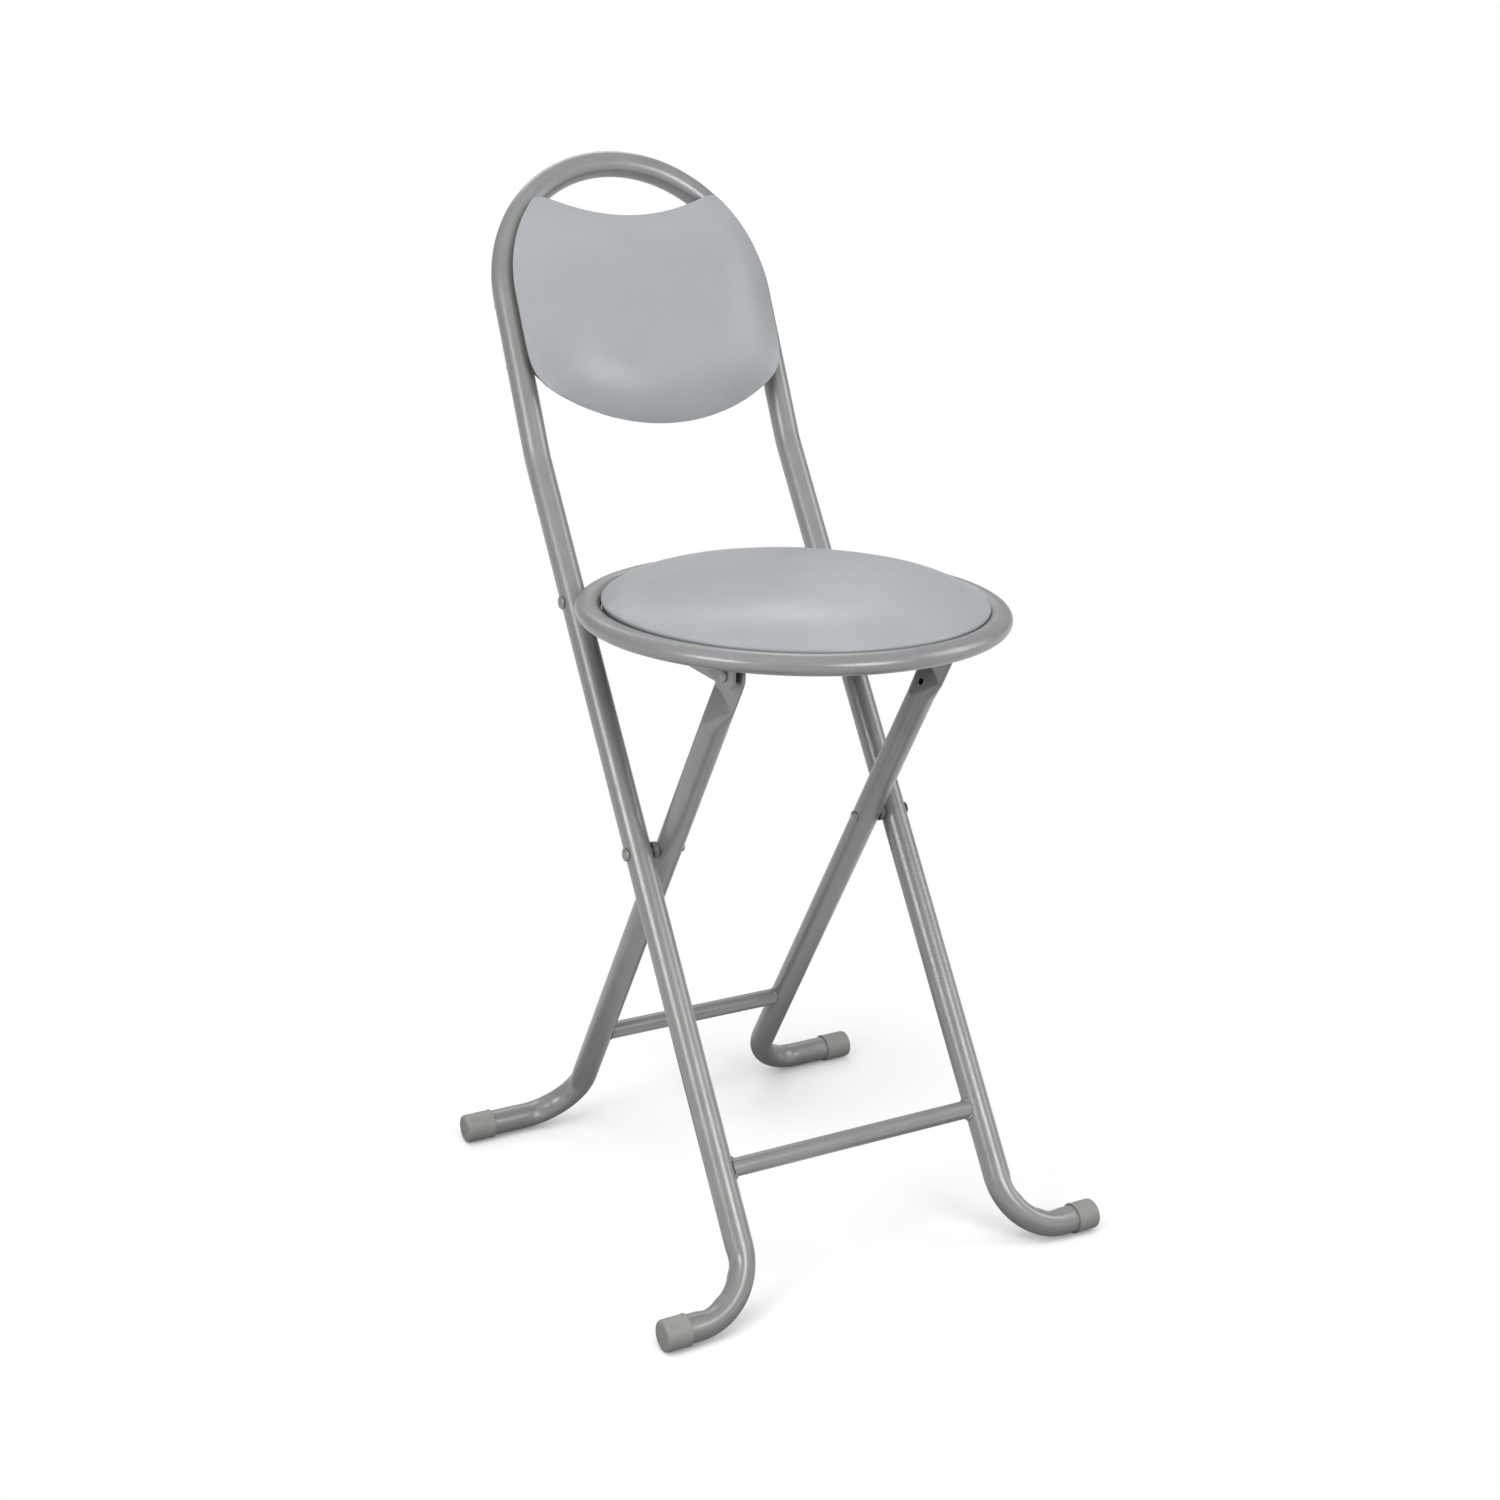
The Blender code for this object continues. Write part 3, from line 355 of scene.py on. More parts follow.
def turned(name, profile, sides, closed=False):
    """A turned form round Z: the profile is radius and height, on the axis or off it."""
    bm = bmesh.new()
    loops = []
    for radius, height in profile:
        if radius < 1e-7:
            loops.append([bm.verts.new((0, 0, height))])
        else:
            loops.append(level_ring(bm, radius, height, sides))
    pairs = list(zip(loops, loops[1:]))
    if closed:
        pairs.append((loops[-1], loops[0]))
    for lower, upper in pairs:
        if len(lower) == 1:
            for i in range(sides):
                bm.faces.new((lower[0], upper[i], upper[(i + 1) % sides]))
        elif len(upper) == 1:
            for i in range(sides):
                bm.faces.new((lower[i], lower[(i + 1) % sides], upper[0]))
        else:
            bridge(bm, lower, upper)
    return to_mesh(name, bm)


def rounded(points, radius, steps=4):
    """A profile whose inner corners are rounded, each within half of its shorter side."""
    result = [points[0]]
    for before, corner, after in zip(points, points[1:], points[2:]):
        a = Vector(before) - Vector(corner)
        b = Vector(after) - Vector(corner)
        reach = min(radius, a.length / 2, b.length / 2)
        start = Vector(corner) + a.normalized() * reach
        end = Vector(corner) + b.normalized() * reach
        for step in range(steps + 1):
            t = step / steps
            point = start * (1 - t) ** 2 + Vector(corner) * (2 * t * (1 - t)) + end * t ** 2
            result.append((max(point.x, 0.0), point.y))
    result.append(points[-1])
    return result


class Path:
    """Points along straight runs and arcs, with each arc's inward direction and the share of it passed."""

    def __init__(self, corners, radii, steps, foot_bends):
        self.points = [corners[0]]
        self.inward = [None]
        for number, (before, corner, after) in enumerate(zip(corners, corners[1:], corners[2:])):
            radius = radii[number]
            back = (before - corner).normalized()
            ahead = (after - corner).normalized()
            half = back.angle(ahead) / 2
            centre = corner + (back + ahead).normalized() * (radius / math.sin(half))
            start = corner + back * (radius / math.tan(half)) - centre
            turn = math.pi - 2 * half
            axis = start.cross(back).normalized()
            for step in range(steps[number] + 1):
                spoke = Matrix.Rotation(-turn * step / steps[number], 3, axis) @ start
                point = centre + spoke
                if (point - self.points[-1]).length > 0.0002:
                    self.points.append(point)
                    foot = number in foot_bends
                    self.inward.append((-spoke.normalized(), step / steps[number]) if foot else None)
        self.points.append(corners[-1])
        self.inward.append(None)


def sweep(name, points, radius, sides, shape=None, closed=False, caps=True):
    """A round bar along the points. The shape may move each point of each ring."""
    count = len(points)
    bm = bmesh.new()
    tangents = []
    for i in range(count):
        if closed:
            tangents.append((points[(i + 1) % count] - points[i - 1]).normalized())
        else:
            ahead = points[min(i + 1, count - 1)] - points[i]
            behind = points[i] - points[max(i - 1, 0)]
            tangents.append((ahead.normalized() if ahead.length else Vector((0, 0, 0)))
                            + (behind.normalized() if behind.length else Vector((0, 0, 0))))
            tangents[-1].normalize()
    side = tangents[0].orthogonal().normalized()
    rings = []
    for i in range(count):
        side = (side - tangents[i] * side.dot(tangents[i])).normalized()
        other = tangents[i].cross(side)
        ring = []
        for k in range(sides):
            angle = 2 * math.pi * k / sides
            out = side * math.cos(angle) + other * math.sin(angle)
            reach = radius(i, angle) if callable(radius) else radius
            spot = points[i] + out * reach
            if shape:
                spot = shape(i, out, spot)
            ring.append(bm.verts.new(spot))
        rings.append(ring)
    for lower, upper in zip(rings, rings[1:]):
        bridge(bm, lower, upper)
    if closed:
        bridge(bm, rings[-1], rings[0])
    elif caps:
        bm.faces.new(list(reversed(rings[0])))
        bm.faces.new(rings[-1])
    return to_mesh(name, bm)


def outwards(side, point):
    """A frame at the point of the side view whose Z axis points away from the middle plane."""
    return Matrix.Translation(PIVOT + point) @ Matrix.Rotation(side * math.pi / 2, 4, "Y")


def carve(obj, tools, bevel=0.0):
    """Take the tools' shapes out of the piece, round its edges off and keep the result as its mesh."""
    made = []
    look = obj.data.materials[0]
    for mesh, frame_matrix in tools:
        tool = bpy.data.objects.new("tool", mesh)
        tool.matrix_world = frame_matrix
        bpy.context.scene.collection.objects.link(tool)
        made.append(tool)
        change = obj.modifiers.new("cut", "BOOLEAN")
        change.operation = "DIFFERENCE"
        change.solver = "EXACT"
        change.object = tool
    if bevel:
        change = obj.modifiers.new("edge", "BEVEL")
        change.width = bevel
        change.segments = 3
        change.limit_method = "ANGLE"
        change.angle_limit = math.radians(35)
    bpy.context.view_layer.update()
    result = bpy.data.meshes.new_from_object(obj.evaluated_get(bpy.context.evaluated_depsgraph_get()))
    obj.modifiers.clear()
    obj.data = result
    result.materials.clear()
    result.materials.append(look)
    for tool in made:
        bpy.data.objects.remove(tool)
    result.shade_smooth()
    result.set_sharp_from_angle(angle=math.radians(40))
    return result


# Tubes
def foot_corner(side, x, direction):
    return Vector((side * x, 0, 0)) - direction * LOWER_LENGTH


def foot_end(side, x, direction, inset):
    corner = foot_corner(side, x, direction)
    return Vector((side * (FOOT_REACH - inset), corner.y, corner.z))


def pressed_bend(path):
    """The bending tool flattens the inner side of a foot bend, with two low ridges across the flat."""
    def shape(i, out, spot):
        bend = path.inward[i]
        if bend is None:
            return spot
        inward, share = bend
        facing = out.dot(inward)
        along = smoothstep(0.0, 0.16, share) * (1 - smoothstep(0.80, 1.0, share))
        ripple = (1 - 0.35 * math.exp(-((share - 0.34) / 0.07) ** 2)
                  - 0.30 * math.exp(-((share - 0.68) / 0.06) ** 2))
        press = smoothstep(0.25, 0.95, facing) * along * ripple * BEND_PRESS
        swell = smoothstep(0.20, 0.9, 1 - abs(facing)) * along * BEND_SWELL
        return spot - out * press + out * swell
    return shape


def back_point(x, height, out=0.0):
    """A point on the frame above its bend: across, up along it and forward of it."""
    return RAIL_BEND + Vector((x, 0, 0)) + BACK_DIR * height + BACK_OUT * out


def make_frame_tube():
    inset = CAP_END + CLEAR
    half = [foot_end(-1, RAIL_X, RAIL_DIR, inset), foot_corner(-1, RAIL_X, RAIL_DIR),
            Vector((-RAIL_X, 0, 0)) + RAIL_BEND, back_point(-RAIL_X, BACK_STRAIGHT + RAIL_X)]
    corners = half + [Vector((-point.x, point.y, point.z)) for point in reversed(half)]
    path = Path(corners, [FOOT_BEND_R, RAIL_BEND_R, RAIL_X, RAIL_X, RAIL_BEND_R, FOOT_BEND_R],
                [36, 14, 40, 40, 14, 36], (0, 5))
    mesh = sweep("frame_tube", path.points, TUBE_R, 40, pressed_bend(path))
    return piece("frame_tube", mesh, PAINT, "outer_frame", ["outer_frame_tube"],
                 frame_matrix=Matrix.Translation(PIVOT))


def on_leg(side, height):
    return Vector((side * LEG_X, 0, 0)) + LEG_DIR * height


def pressed_half(along, share):
    """Half the tube's thickness at a height; the share runs from the middle of the flat to its edge."""
    full = FLAT_FULL - FLAT_CREASE * share * share
    done = min(max((along - FLAT_START) / (full - FLAT_START), 0.0), 1.0)
    return TUBE_R - (TUBE_R - FLAT_THICK / 2) * done


def flattened(side, spot):
    """Press a leg's top flat. Each ring keeps its length round, so it widens, and the end is round."""
    along = spot.dot(LEG_DIR)
    if along <= FLAT_START:
        return spot
    across = Vector((0, math.cos(LEAN), math.sin(LEAN)))
    depth = side * spot.x - LEG_X
    width = spot.dot(across)
    turn = math.atan2(abs(depth), abs(width))
    half = pressed_half(along, 1 - turn / (math.pi / 2))
    straight = math.pi * (TUBE_R - half) / 2
    round_part = math.pi * half / 2
    passed = turn * TUBE_R
    if passed <= round_part:
        flat_width = straight + half * math.cos(passed / half)
        flat_depth = half * math.sin(passed / half)
    else:
        flat_width = straight - (passed - round_part)
        flat_depth = half
    if along > SEAT_PIVOT_DIST:
        reach = min((along - SEAT_PIVOT_DIST) / FLAT_HALF_WIDTH, 1.0)
        flat_width *= math.sqrt(max(1 - reach * reach, 0.004))
    moved = spot + across * (math.copysign(flat_width, width) - width)
    return Vector((side * (LEG_X + math.copysign(flat_depth, depth)), moved.y, moved.z))


def make_leg(side, label):
    inset = CAP_END + CLEAR
    corners = [foot_end(side, LEG_X, LEG_DIR, inset), foot_corner(side, LEG_X, LEG_DIR),
               on_leg(side, FLAT_START)]
    path = Path(corners, [FOOT_BEND_R], [36], (0,))
    pressed = [FLAT_START + (PRESS_TOP - FLAT_START) * i / PRESS_RINGS for i in range(1, PRESS_RINGS + 1)]
    top = [SEAT_PIVOT_DIST + FLAT_HALF_WIDTH * math.sin(math.pi / 2 * i / 18) for i in range(19)]
    for height in pressed + top:
        path.points.append(on_leg(side, height))
        path.inward.append(None)
    bend = pressed_bend(path)

    def shape(i, out, spot):
        return flattened(side, bend(i, out, spot))

    leg = piece(f"leg_{label}", sweep(f"leg_{label}", path.points, TUBE_R, 64, shape), PAINT, "rear_legs",
                [f"rear_leg_{label}"], frame_matrix=Matrix.Translation(PIVOT))
    outer = Vector((side, 0, 0))
    slope = math.atan((TUBE_R - FLAT_THICK / 2) / (FLAT_FULL - FLAT_START))
    wall = on_leg(side, VENT_DIST) - outer * pressed_half(VENT_DIST, 0.0)
    normal = LEG_DIR * math.sin(slope) - outer * math.cos(slope)
    turn = normal.to_track_quat("Z", "Y").to_matrix().to_4x4()
    at_wall = Matrix.Translation(PIVOT + wall) @ turn
    rim = [(VENT_R, 0.0002)] + [(VENT_R + 0.0004 + 0.0004 * math.cos(a), 0.00025 * math.sin(a))
                                for a in (math.pi * k / 8 for k in range(8, -1, -1))]
    rim += [(VENT_R + 0.0008, -0.0006), (VENT_R, -0.0006)]
    piece(f"vent_rim_{label}", turned("vent_rim", rim, 36, closed=True), PAINT, "rear_legs",
          frame_matrix=at_wall)
    hole = turned("vent_tool", [(0, 0.003), (VENT_R, 0.003), (VENT_R, -0.0045), (0, -0.0045)], 36)
    mesh = carve(leg, [(hole, at_wall)])
    # The vent hole is blind; its walls and floor take the painted shade that stands for the tube's dark
    # inside.
    mesh.materials.append(INSIDE_SHADE)
    for face in mesh.polygons:
        local = at_wall.inverted() @ face.center
        if math.hypot(local.x, local.y) < VENT_R + 0.0001 and -0.006 < local.z < -0.0003:
            face.material_index = 1
    return leg


def cap_piece(name, side, x, direction, length, body, node):
    """A plastic cup over a foot tube's end: rounded closed end, thin lip, and the moulding nub."""
    bore = TUBE_R + 0.0001
    profile = [(0, CAP_END + 0.0006), (0.0007, CAP_END + 0.0005), (0.0010, CAP_END + 0.00005)]
    profile += rounded([(0.0012, CAP_END), (CAP_R, CAP_END), (CAP_R, -0.008)], 0.0026, 8)
    low = CAP_END - length
    profile += rounded([(CAP_R, low + 0.0020), (CAP_R, low + 0.0013), (CAP_R + CAP_LIP, low + 0.0010),
                        (CAP_R + CAP_LIP, low), (bore, low), (bore, low + 0.004)], 0.0003, 3)
    profile += [(bore, 0), (0, 0)]
    mesh = turned(name, profile, 64)
    end = foot_end(side, x, direction, CAP_END)
    return piece(name, mesh, CAP_PLASTIC, body, [node], 50, outwards(side, end))


def bead_radius(size, least):
    """The radius along a weld bead: tapered to both ends and faintly rippled."""
    def radius(i, angle):
        return size * math.sqrt(max(1 - (i / WELD_HALF - 1) ** 2, least)) * (1 + 0.07 * math.sin(i * 1.9))
    return radius


def make_bar(name, x, upright, drop, body):
    """A crossbar with ends shaped to the round tubes, welded above and below, open between the welds."""
    level = Vector((1, 0, 0)).cross(upright)
    middle = -upright * drop
    sides = 36
    bm = bmesh.new()

    def end_ring(side, radius, inset=0.0):
        ring = []
        for k in range(sides):
            angle = 2 * math.pi * k / sides
            away = radius * math.cos(angle)
            reach = x - math.sqrt((TUBE_R + BAR_GAP) ** 2 - away ** 2) - inset
            spot = middle + level * away + upright * (radius * math.sin(angle)) + Vector((side * reach, 0, 0))
            ring.append(bm.verts.new(spot))
        return ring

    inner = CROSSBAR_R - CROSSBAR_WALL
    rings = [end_ring(1, inner, BAR_HOLLOW), end_ring(1, inner), end_ring(1, CROSSBAR_R),
             end_ring(-1, CROSSBAR_R), end_ring(-1, inner), end_ring(-1, inner, BAR_HOLLOW)]
    for lower, upper in zip(rings, rings[1:]):
        bridge(bm, lower, upper)
    bm.faces.new(rings[0])
    bm.faces.new(rings[-1])
    piece(f"{name}_tube", to_mesh(name, bm), PAINT, body, [name],
          frame_matrix=Matrix.Translation(PIVOT))
    for side, label in ((-1, "left"), (1, "right")):
        for turn, where in ((math.pi / 2, "top"), (-math.pi / 2, "bottom")):
            points = []
            for k in range(2 * WELD_HALF + 1):
                angle = turn + math.radians(46) * (k / WELD_HALF - 1)
                away = CROSSBAR_R * math.cos(angle)
                reach = x - math.sqrt(TUBE_R ** 2 - away ** 2)
                points.append(middle + level * away + upright * (CROSSBAR_R * math.sin(angle))
                              + Vector((side * reach, 0, 0)))
            bead = sweep("weld", points, bead_radius(0.00185, 0.02), 16)
            piece(f"{name}_weld_{where}_{label}", bead, PAINT, body, angle=60,
                  frame_matrix=Matrix.Translation(PIVOT))


# Rivets, pins and bushes
def head_profile(radius, height):
    """A low dome with a rolled edge, from its top down to the shank."""
    points = [(radius * math.sin(math.pi / 2 * i / 8), height * (0.22 + 0.78 * math.cos(math.pi / 2 * i / 8)))
              for i in range(9)]
    return points + [(radius, 0.06 * height), (radius * 0.96, 0.0)]


def rivet(name, side, place, head_x, tail_x, body, node, head=(0.0048, 0.0023), tail=(0.0042, 0.0020)):
    """A rivet across the frame: domed head outside, a set tail or a plain end inside."""
    length = head_x - tail_x
    profile = head_profile(*head) + [(RIVET_R, 0)]
    if tail:
        low = [(radius, -length - height) for radius, height in head_profile(*tail)]
        profile += [(RIVET_R, -length)] + list(reversed(low))
    else:
        profile += rounded([(RIVET_R, -0.001), (RIVET_R, -length), (0, -length)], 0.0006, 3)
    frame_matrix = outwards(side, place + Vector((side * head_x, 0, 0)))
    return piece(name, turned(name, profile, 40), STEEL, body, [node], 50, frame_matrix)


def bush(name, side, place, low, high, body, node):
    """The spacer on a pivot, between two faces."""
    length = high - low - 2 * CLEAR
    bore, outer = RIVET_R + CLEAR, 0.0060
    outline = rounded([(bore, 0), (outer, 0), (outer, length), (bore, length)], 0.0006, 3)
    frame_matrix = outwards(side, place + Vector((side * (low + CLEAR), 0, 0)))
    return piece(name, turned(name, outline, 40, closed=True), BUSH_PLASTIC, body, [node], 50,
                 frame_matrix)


# Seat
def make_ring():
    bm = bmesh.new()
    rings = []
    steps = 180
    sides = 36
    for i in range(steps):
        angle = 2 * math.pi * i / steps
        ring = []
        for k in range(sides):
            round_angle = 2 * math.pi * k / sides
            reach = RING_R + RING_HALF_WIDTH * math.cos(round_angle)
            ring.append(bm.verts.new((reach * math.cos(angle), reach * math.sin(angle),
                                      RING_HALF_HEIGHT * math.sin(round_angle))))
        rings.append(ring)
    for lower, upper in zip(rings, rings[1:] + rings[:1]):
        bridge(bm, lower, upper)
    piece("ring_tube", to_mesh("ring_tube", bm), PAINT, "seat", ["seat_ring"],
          frame_matrix=SEAT_FRAME)


def arc(centre, radius, start, end, steps):
    return [(centre[0] + radius * math.cos(start + (end - start) * i / steps),
             centre[1] + radius * math.sin(start + (end - start) * i / steps)) for i in range(steps + 1)]


def bracket_outline():
    """Side view of a bracket's web in the seat's frame, its hook open downwards and forwards."""
    corner = (SEAT_RIVET_AT[0] + BRACKET_CORNER_R - BRACKET_FRONT,
              SEAT_RIVET_AT[1] + BRACKET_CORNER_R - BRACKET_DROP)
    reach = (CATCH_AT[0] - corner[0], CATCH_AT[1] - corner[1])
    slope = math.atan2(reach[1], reach[0]) - math.asin((HOOK_R - BRACKET_CORNER_R) / math.hypot(*reach))
    flange_top = BRACKET_THICK - FLANGE_DROP
    under_ring = -RING_HALF_HEIGHT - CLEAR
    step = math.sqrt((RING_R - RING_HALF_WIDTH) ** 2 - BRACKET_OUT ** 2) - RING_HALF_WIDTH
    over = math.asin((under_ring - CATCH_AT[1]) / HOOK_R)
    gap = RIVET_R + CLEAR
    points = [(SEAT_RIVET_AT[0] - BRACKET_FRONT, flange_top), (step, flange_top),
              (step + BRACKET_THICK, under_ring)]
    hook = arc(CATCH_AT, HOOK_R, math.pi - over, slope - math.pi / 2, 32)
    points += hook
    seat_arc = arc(CATCH_AT, gap, HOOK_MOUTH + math.pi / 2, HOOK_MOUTH + 3 * math.pi / 2, 24)

    def at_lower_edge(start):
        down = (math.cos(HOOK_MOUTH), math.sin(HOOK_MOUTH))
        edge = (math.cos(slope), math.sin(slope))
        away = (hook[-1][0] - start[0], hook[-1][1] - start[1])
        share = (away[0] * edge[1] - away[1] * edge[0]) / (down[0] * edge[1] - down[1] * edge[0])
        return (start[0] + down[0] * share, start[1] + down[1] * share)

    points += [at_lower_edge(seat_arc[0])] + seat_arc + [at_lower_edge(seat_arc[-1])]
    points += arc(corner, BRACKET_CORNER_R, slope - math.pi / 2, -math.pi, 14)
    return points


def plate(bm, outline, low, high):
    """A flat plate: the outline in Y and Z, between two places across."""
    sides = [[bm.verts.new((x, y, z)) for y, z in outline] for x in (low, high)]
    bridge(bm, *sides)
    bm.faces.new(list(reversed(sides[0])))
    bm.faces.new(sides[1])


def make_bracket(side, label):
    """The pressed angle bracket: a hooked web, a flange under the seat board and the weld to the ring."""
    bm = bmesh.new()
    plate(bm, bracket_outline(), side * BRACKET_IN, side * BRACKET_OUT)
    outer = BRACKET_IN + FLANGE_WIDTH
    front = -math.sqrt((RING_R - RING_HALF_WIDTH) ** 2 - outer ** 2)
    rear = -front - RING_HALF_WIDTH
    low = -FLANGE_DROP
    high = BRACKET_THICK - FLANGE_DROP
    flange = bmesh.new()
    plate(flange, [(front, low), (rear, low), (rear, high), (front, high)], side * (BRACKET_IN + 0.0001),
          side * outer)
    web = piece(f"bracket_{label}", to_mesh("web", bm), PAINT, "seat",
                [f"seat_bracket_{label}"], frame_matrix=SEAT_FRAME)
    turn = Matrix.Rotation(math.pi / 2, 4, "Y")
    hole_at = SEAT_FRAME @ Matrix.Translation((side * BRACKET_IN, *SEAT_RIVET_AT)) @ turn
    hole = turned("hole", [(0, 0.01), (RIVET_R + CLEAR, 0.01), (RIVET_R + CLEAR, -0.01), (0, -0.01)], 32)
    carve(web, [(hole, hole_at)], BRACKET_EDGE)
    lip = piece(f"bracket_flange_{label}", to_mesh("flange", flange), PAINT, "seat",
                frame_matrix=SEAT_FRAME)
    carve(lip, [], BRACKET_EDGE)
    middle = math.sqrt(RING_R ** 2 - ((BRACKET_IN + BRACKET_OUT) / 2) ** 2)
    for face, where in ((BRACKET_IN, "inner"), (BRACKET_OUT, "outer")):
        points = [Vector((side * face, middle + 0.0052 * (i / WELD_HALF - 1), 0.0003 - RING_HALF_HEIGHT))
                  for i in range(2 * WELD_HALF + 1)]
        bead = sweep("weld", points, bead_radius(0.0015, 0.03), 14)
        piece(f"bracket_weld_{where}_{label}", bead, PAINT, "seat", angle=60,
              frame_matrix=SEAT_FRAME)


CUSHION_REST = math.radians(66)  # the angle up the ring's tube, from its inner side, that sets the edge
CUSHION_GAP = 0.0040  # that place on the ring in to the cushion
CUSHION_BULGE = RING_HALF_HEIGHT * math.sin(CUSHION_REST)
CUSHION_TOP = CUSHION_BULGE + 0.0174
CUSHION_UNEVEN = 0.0007
CUSHION_SHIFT = Vector((0.0010, -0.0008, 0))  # screwed down a little off the ring's middle
ROLL_R = 0.0021  # rolled edge of the cover, over the ring


def make_seat_cushion():
    """The round cushion: flat crown, quick fall to a rolled edge, and the cover tucked in above the ring."""
    wide = RING_R - RING_HALF_WIDTH * math.cos(CUSHION_REST) - CUSHION_GAP
    under = BOARD_Z + BOARD_THICK + CLEAR
    board_r = RING_R - RING_HALF_WIDTH - 0.0008
    sides = 224
    roll_top = math.radians(58)
    crown_r = wide - ROLL_R * (1 - math.cos(roll_top))
    crown_z = CUSHION_BULGE + ROLL_R * math.sin(roll_top)
    shares = [0.08, 0.16, 0.25, 0.34, 0.43, 0.52, 0.60, 0.67, 0.73, 0.78, 0.825, 0.86, 0.89, 0.915, 0.935,
              0.952, 0.966, 0.978, 0.987, 0.994, 1.0]
    bm = bmesh.new()
    rings = []
    for share in shares:
        ring = []
        for k in range(sides):
            angle = 2 * math.pi * k / sides
            at = Vector((math.cos(angle), math.sin(angle), 0)) * share
            unevenness = CUSHION_UNEVEN * noise.noise(at * 2.2 + Vector((3.1, 0, 0))) * (1 - share ** 6)
            pull = 0.00020 * math.sin(angle * 41 + 2 * math.sin(angle * 5)) * smoothstep(0.90, 0.985, share)
            reach = crown_r * share
            height = crown_z + (CUSHION_TOP - crown_z) * (1 - share ** 6.0) + unevenness + pull
            ring.append(bm.verts.new((reach * math.cos(angle), reach * math.sin(angle), height)))
        rings.append(ring)
    edge = [(wide - ROLL_R + ROLL_R * math.cos(a), CUSHION_BULGE + ROLL_R * math.sin(a))
            for a in (roll_top - math.radians(118) * i / 9 for i in range(1, 10))]
    edge += [(edge[-1][0] - 0.0008, edge[-1][1] - 0.0006), (board_r, 0.0036), (board_r, under)]
    for reach, height in edge:
        rings.append(level_ring(bm, reach, height, sides))
    for lower, upper in zip(rings, rings[1:]):
        bridge(bm, lower, upper)
    top = bm.verts.new((0, 0, CUSHION_TOP + CUSHION_UNEVEN * noise.noise(Vector((3.1, 0, 0)))))
    for k in range(sides):
        bm.faces.new((rings[0][k], rings[0][(k + 1) % sides], top))
    bm.faces.new(rings[-1])
    cushion = piece("seat_cushion_skin", to_mesh("seat_cushion_skin", bm), VINYL, "seat",
                    ["seat_cushion"], 60, SEAT_FRAME @ Matrix.Translation(CUSHION_SHIFT))


# Backrest. Heights are taken along the frame from its bend
PAD_BOTTOM = 0.0145  # lowest point of the pad
PAD_TOP = 0.1750  # bottom of its hollow top edge
PAD_BOTTOM_R = 0.1526
PAD_TOP_R = 0.150
PAD_SIDE = RAIL_X - 0.0003
PAD_MIDDLE = (PAD_BOTTOM + PAD_TOP) / 2
PAD_CORNER = 0.0040  # how far the corners are drawn in
PAD_BLEND = 0.0140
PAD_ROLL = 0.0520  # width of the rolled border
PAD_EDGE = 0.0035  # height of the pad at its edge
PAD_CROWN = 0.0150  # and how much more it rises
BACK_BOARD_OUT = 0.009508  # rails' axes forward to the board's back
BACK_BOARD_THICK = 0.0040
BACK_SCREW_HEIGHTS = (0.0700, 0.1160)
BACK_SCREW_TURN = math.radians(38.0)  # the screws aim in towards the middle, from straight forward
BACK_SCREW_LENGTH = 0.0238
BACK_SCREW_R = 0.0020
BACK_HEAD_R = 0.0028
BACK_HEAD = 0.0008
RECESS = (0.0030, 0.0007, 0.0016)  # one arm of the cross recess
RECESS_TURN = 0.35


def pad_reach(angle):
    """Distance from the pad's middle to its edge in one direction, with its corners drawn in."""
    along = (math.cos(angle), math.sin(angle))

    def to_circle(height, radius, far):
        offset = PAD_MIDDLE - height
        share = offset * along[1]
        root = share * share + radius * radius - offset * offset
        if root < 0:
            return None
        reach = -share + math.sqrt(root) if far else -share - math.sqrt(root)
        return reach if reach > 0 else None

    reaches = [to_circle(PAD_BOTTOM + PAD_BOTTOM_R, PAD_BOTTOM_R, True)]
    upright = PAD_SIDE / max(abs(along[0]), 1e-6)
    if PAD_MIDDLE + upright * along[1] > BACK_STRAIGHT:
        upright = to_circle(BACK_STRAIGHT, PAD_SIDE, True)
    reaches.append(upright)
    if along[1] > 0:
        reaches.append(to_circle(PAD_TOP + PAD_TOP_R, PAD_TOP_R, False))
    sharp = math.log(2) / PAD_CORNER
    known = [reach for reach in reaches if reach is not None]
    nearest = min(known)
    return nearest - math.log(sum(math.exp(-sharp * (reach - nearest)) for reach in known)) / sharp


def pad_inside(x, y):
    """Distance in from the pad's edges, blended so that the cover shows no crease between them."""
    height = y + PAD_MIDDLE
    to_bottom = PAD_BOTTOM_R - math.hypot(x, PAD_BOTTOM + PAD_BOTTOM_R - height)
    to_side = PAD_SIDE - math.hypot(x, max(height - BACK_STRAIGHT, 0.0))
    to_top = math.hypot(x, PAD_TOP + PAD_TOP_R - height) - PAD_TOP_R
    return -PAD_BLEND * math.log(sum(math.exp(-near / PAD_BLEND) for near in (to_bottom, to_side, to_top)))


def back_frame(out):
    """A frame at the pad's middle: X across, Y up the frame, Z forward of it."""
    turn = Matrix((Vector((1, 0, 0)), BACK_DIR, BACK_OUT)).transposed().to_4x4()
    return Matrix.Translation(PIVOT + back_point(0, PAD_MIDDLE, out)) @ turn


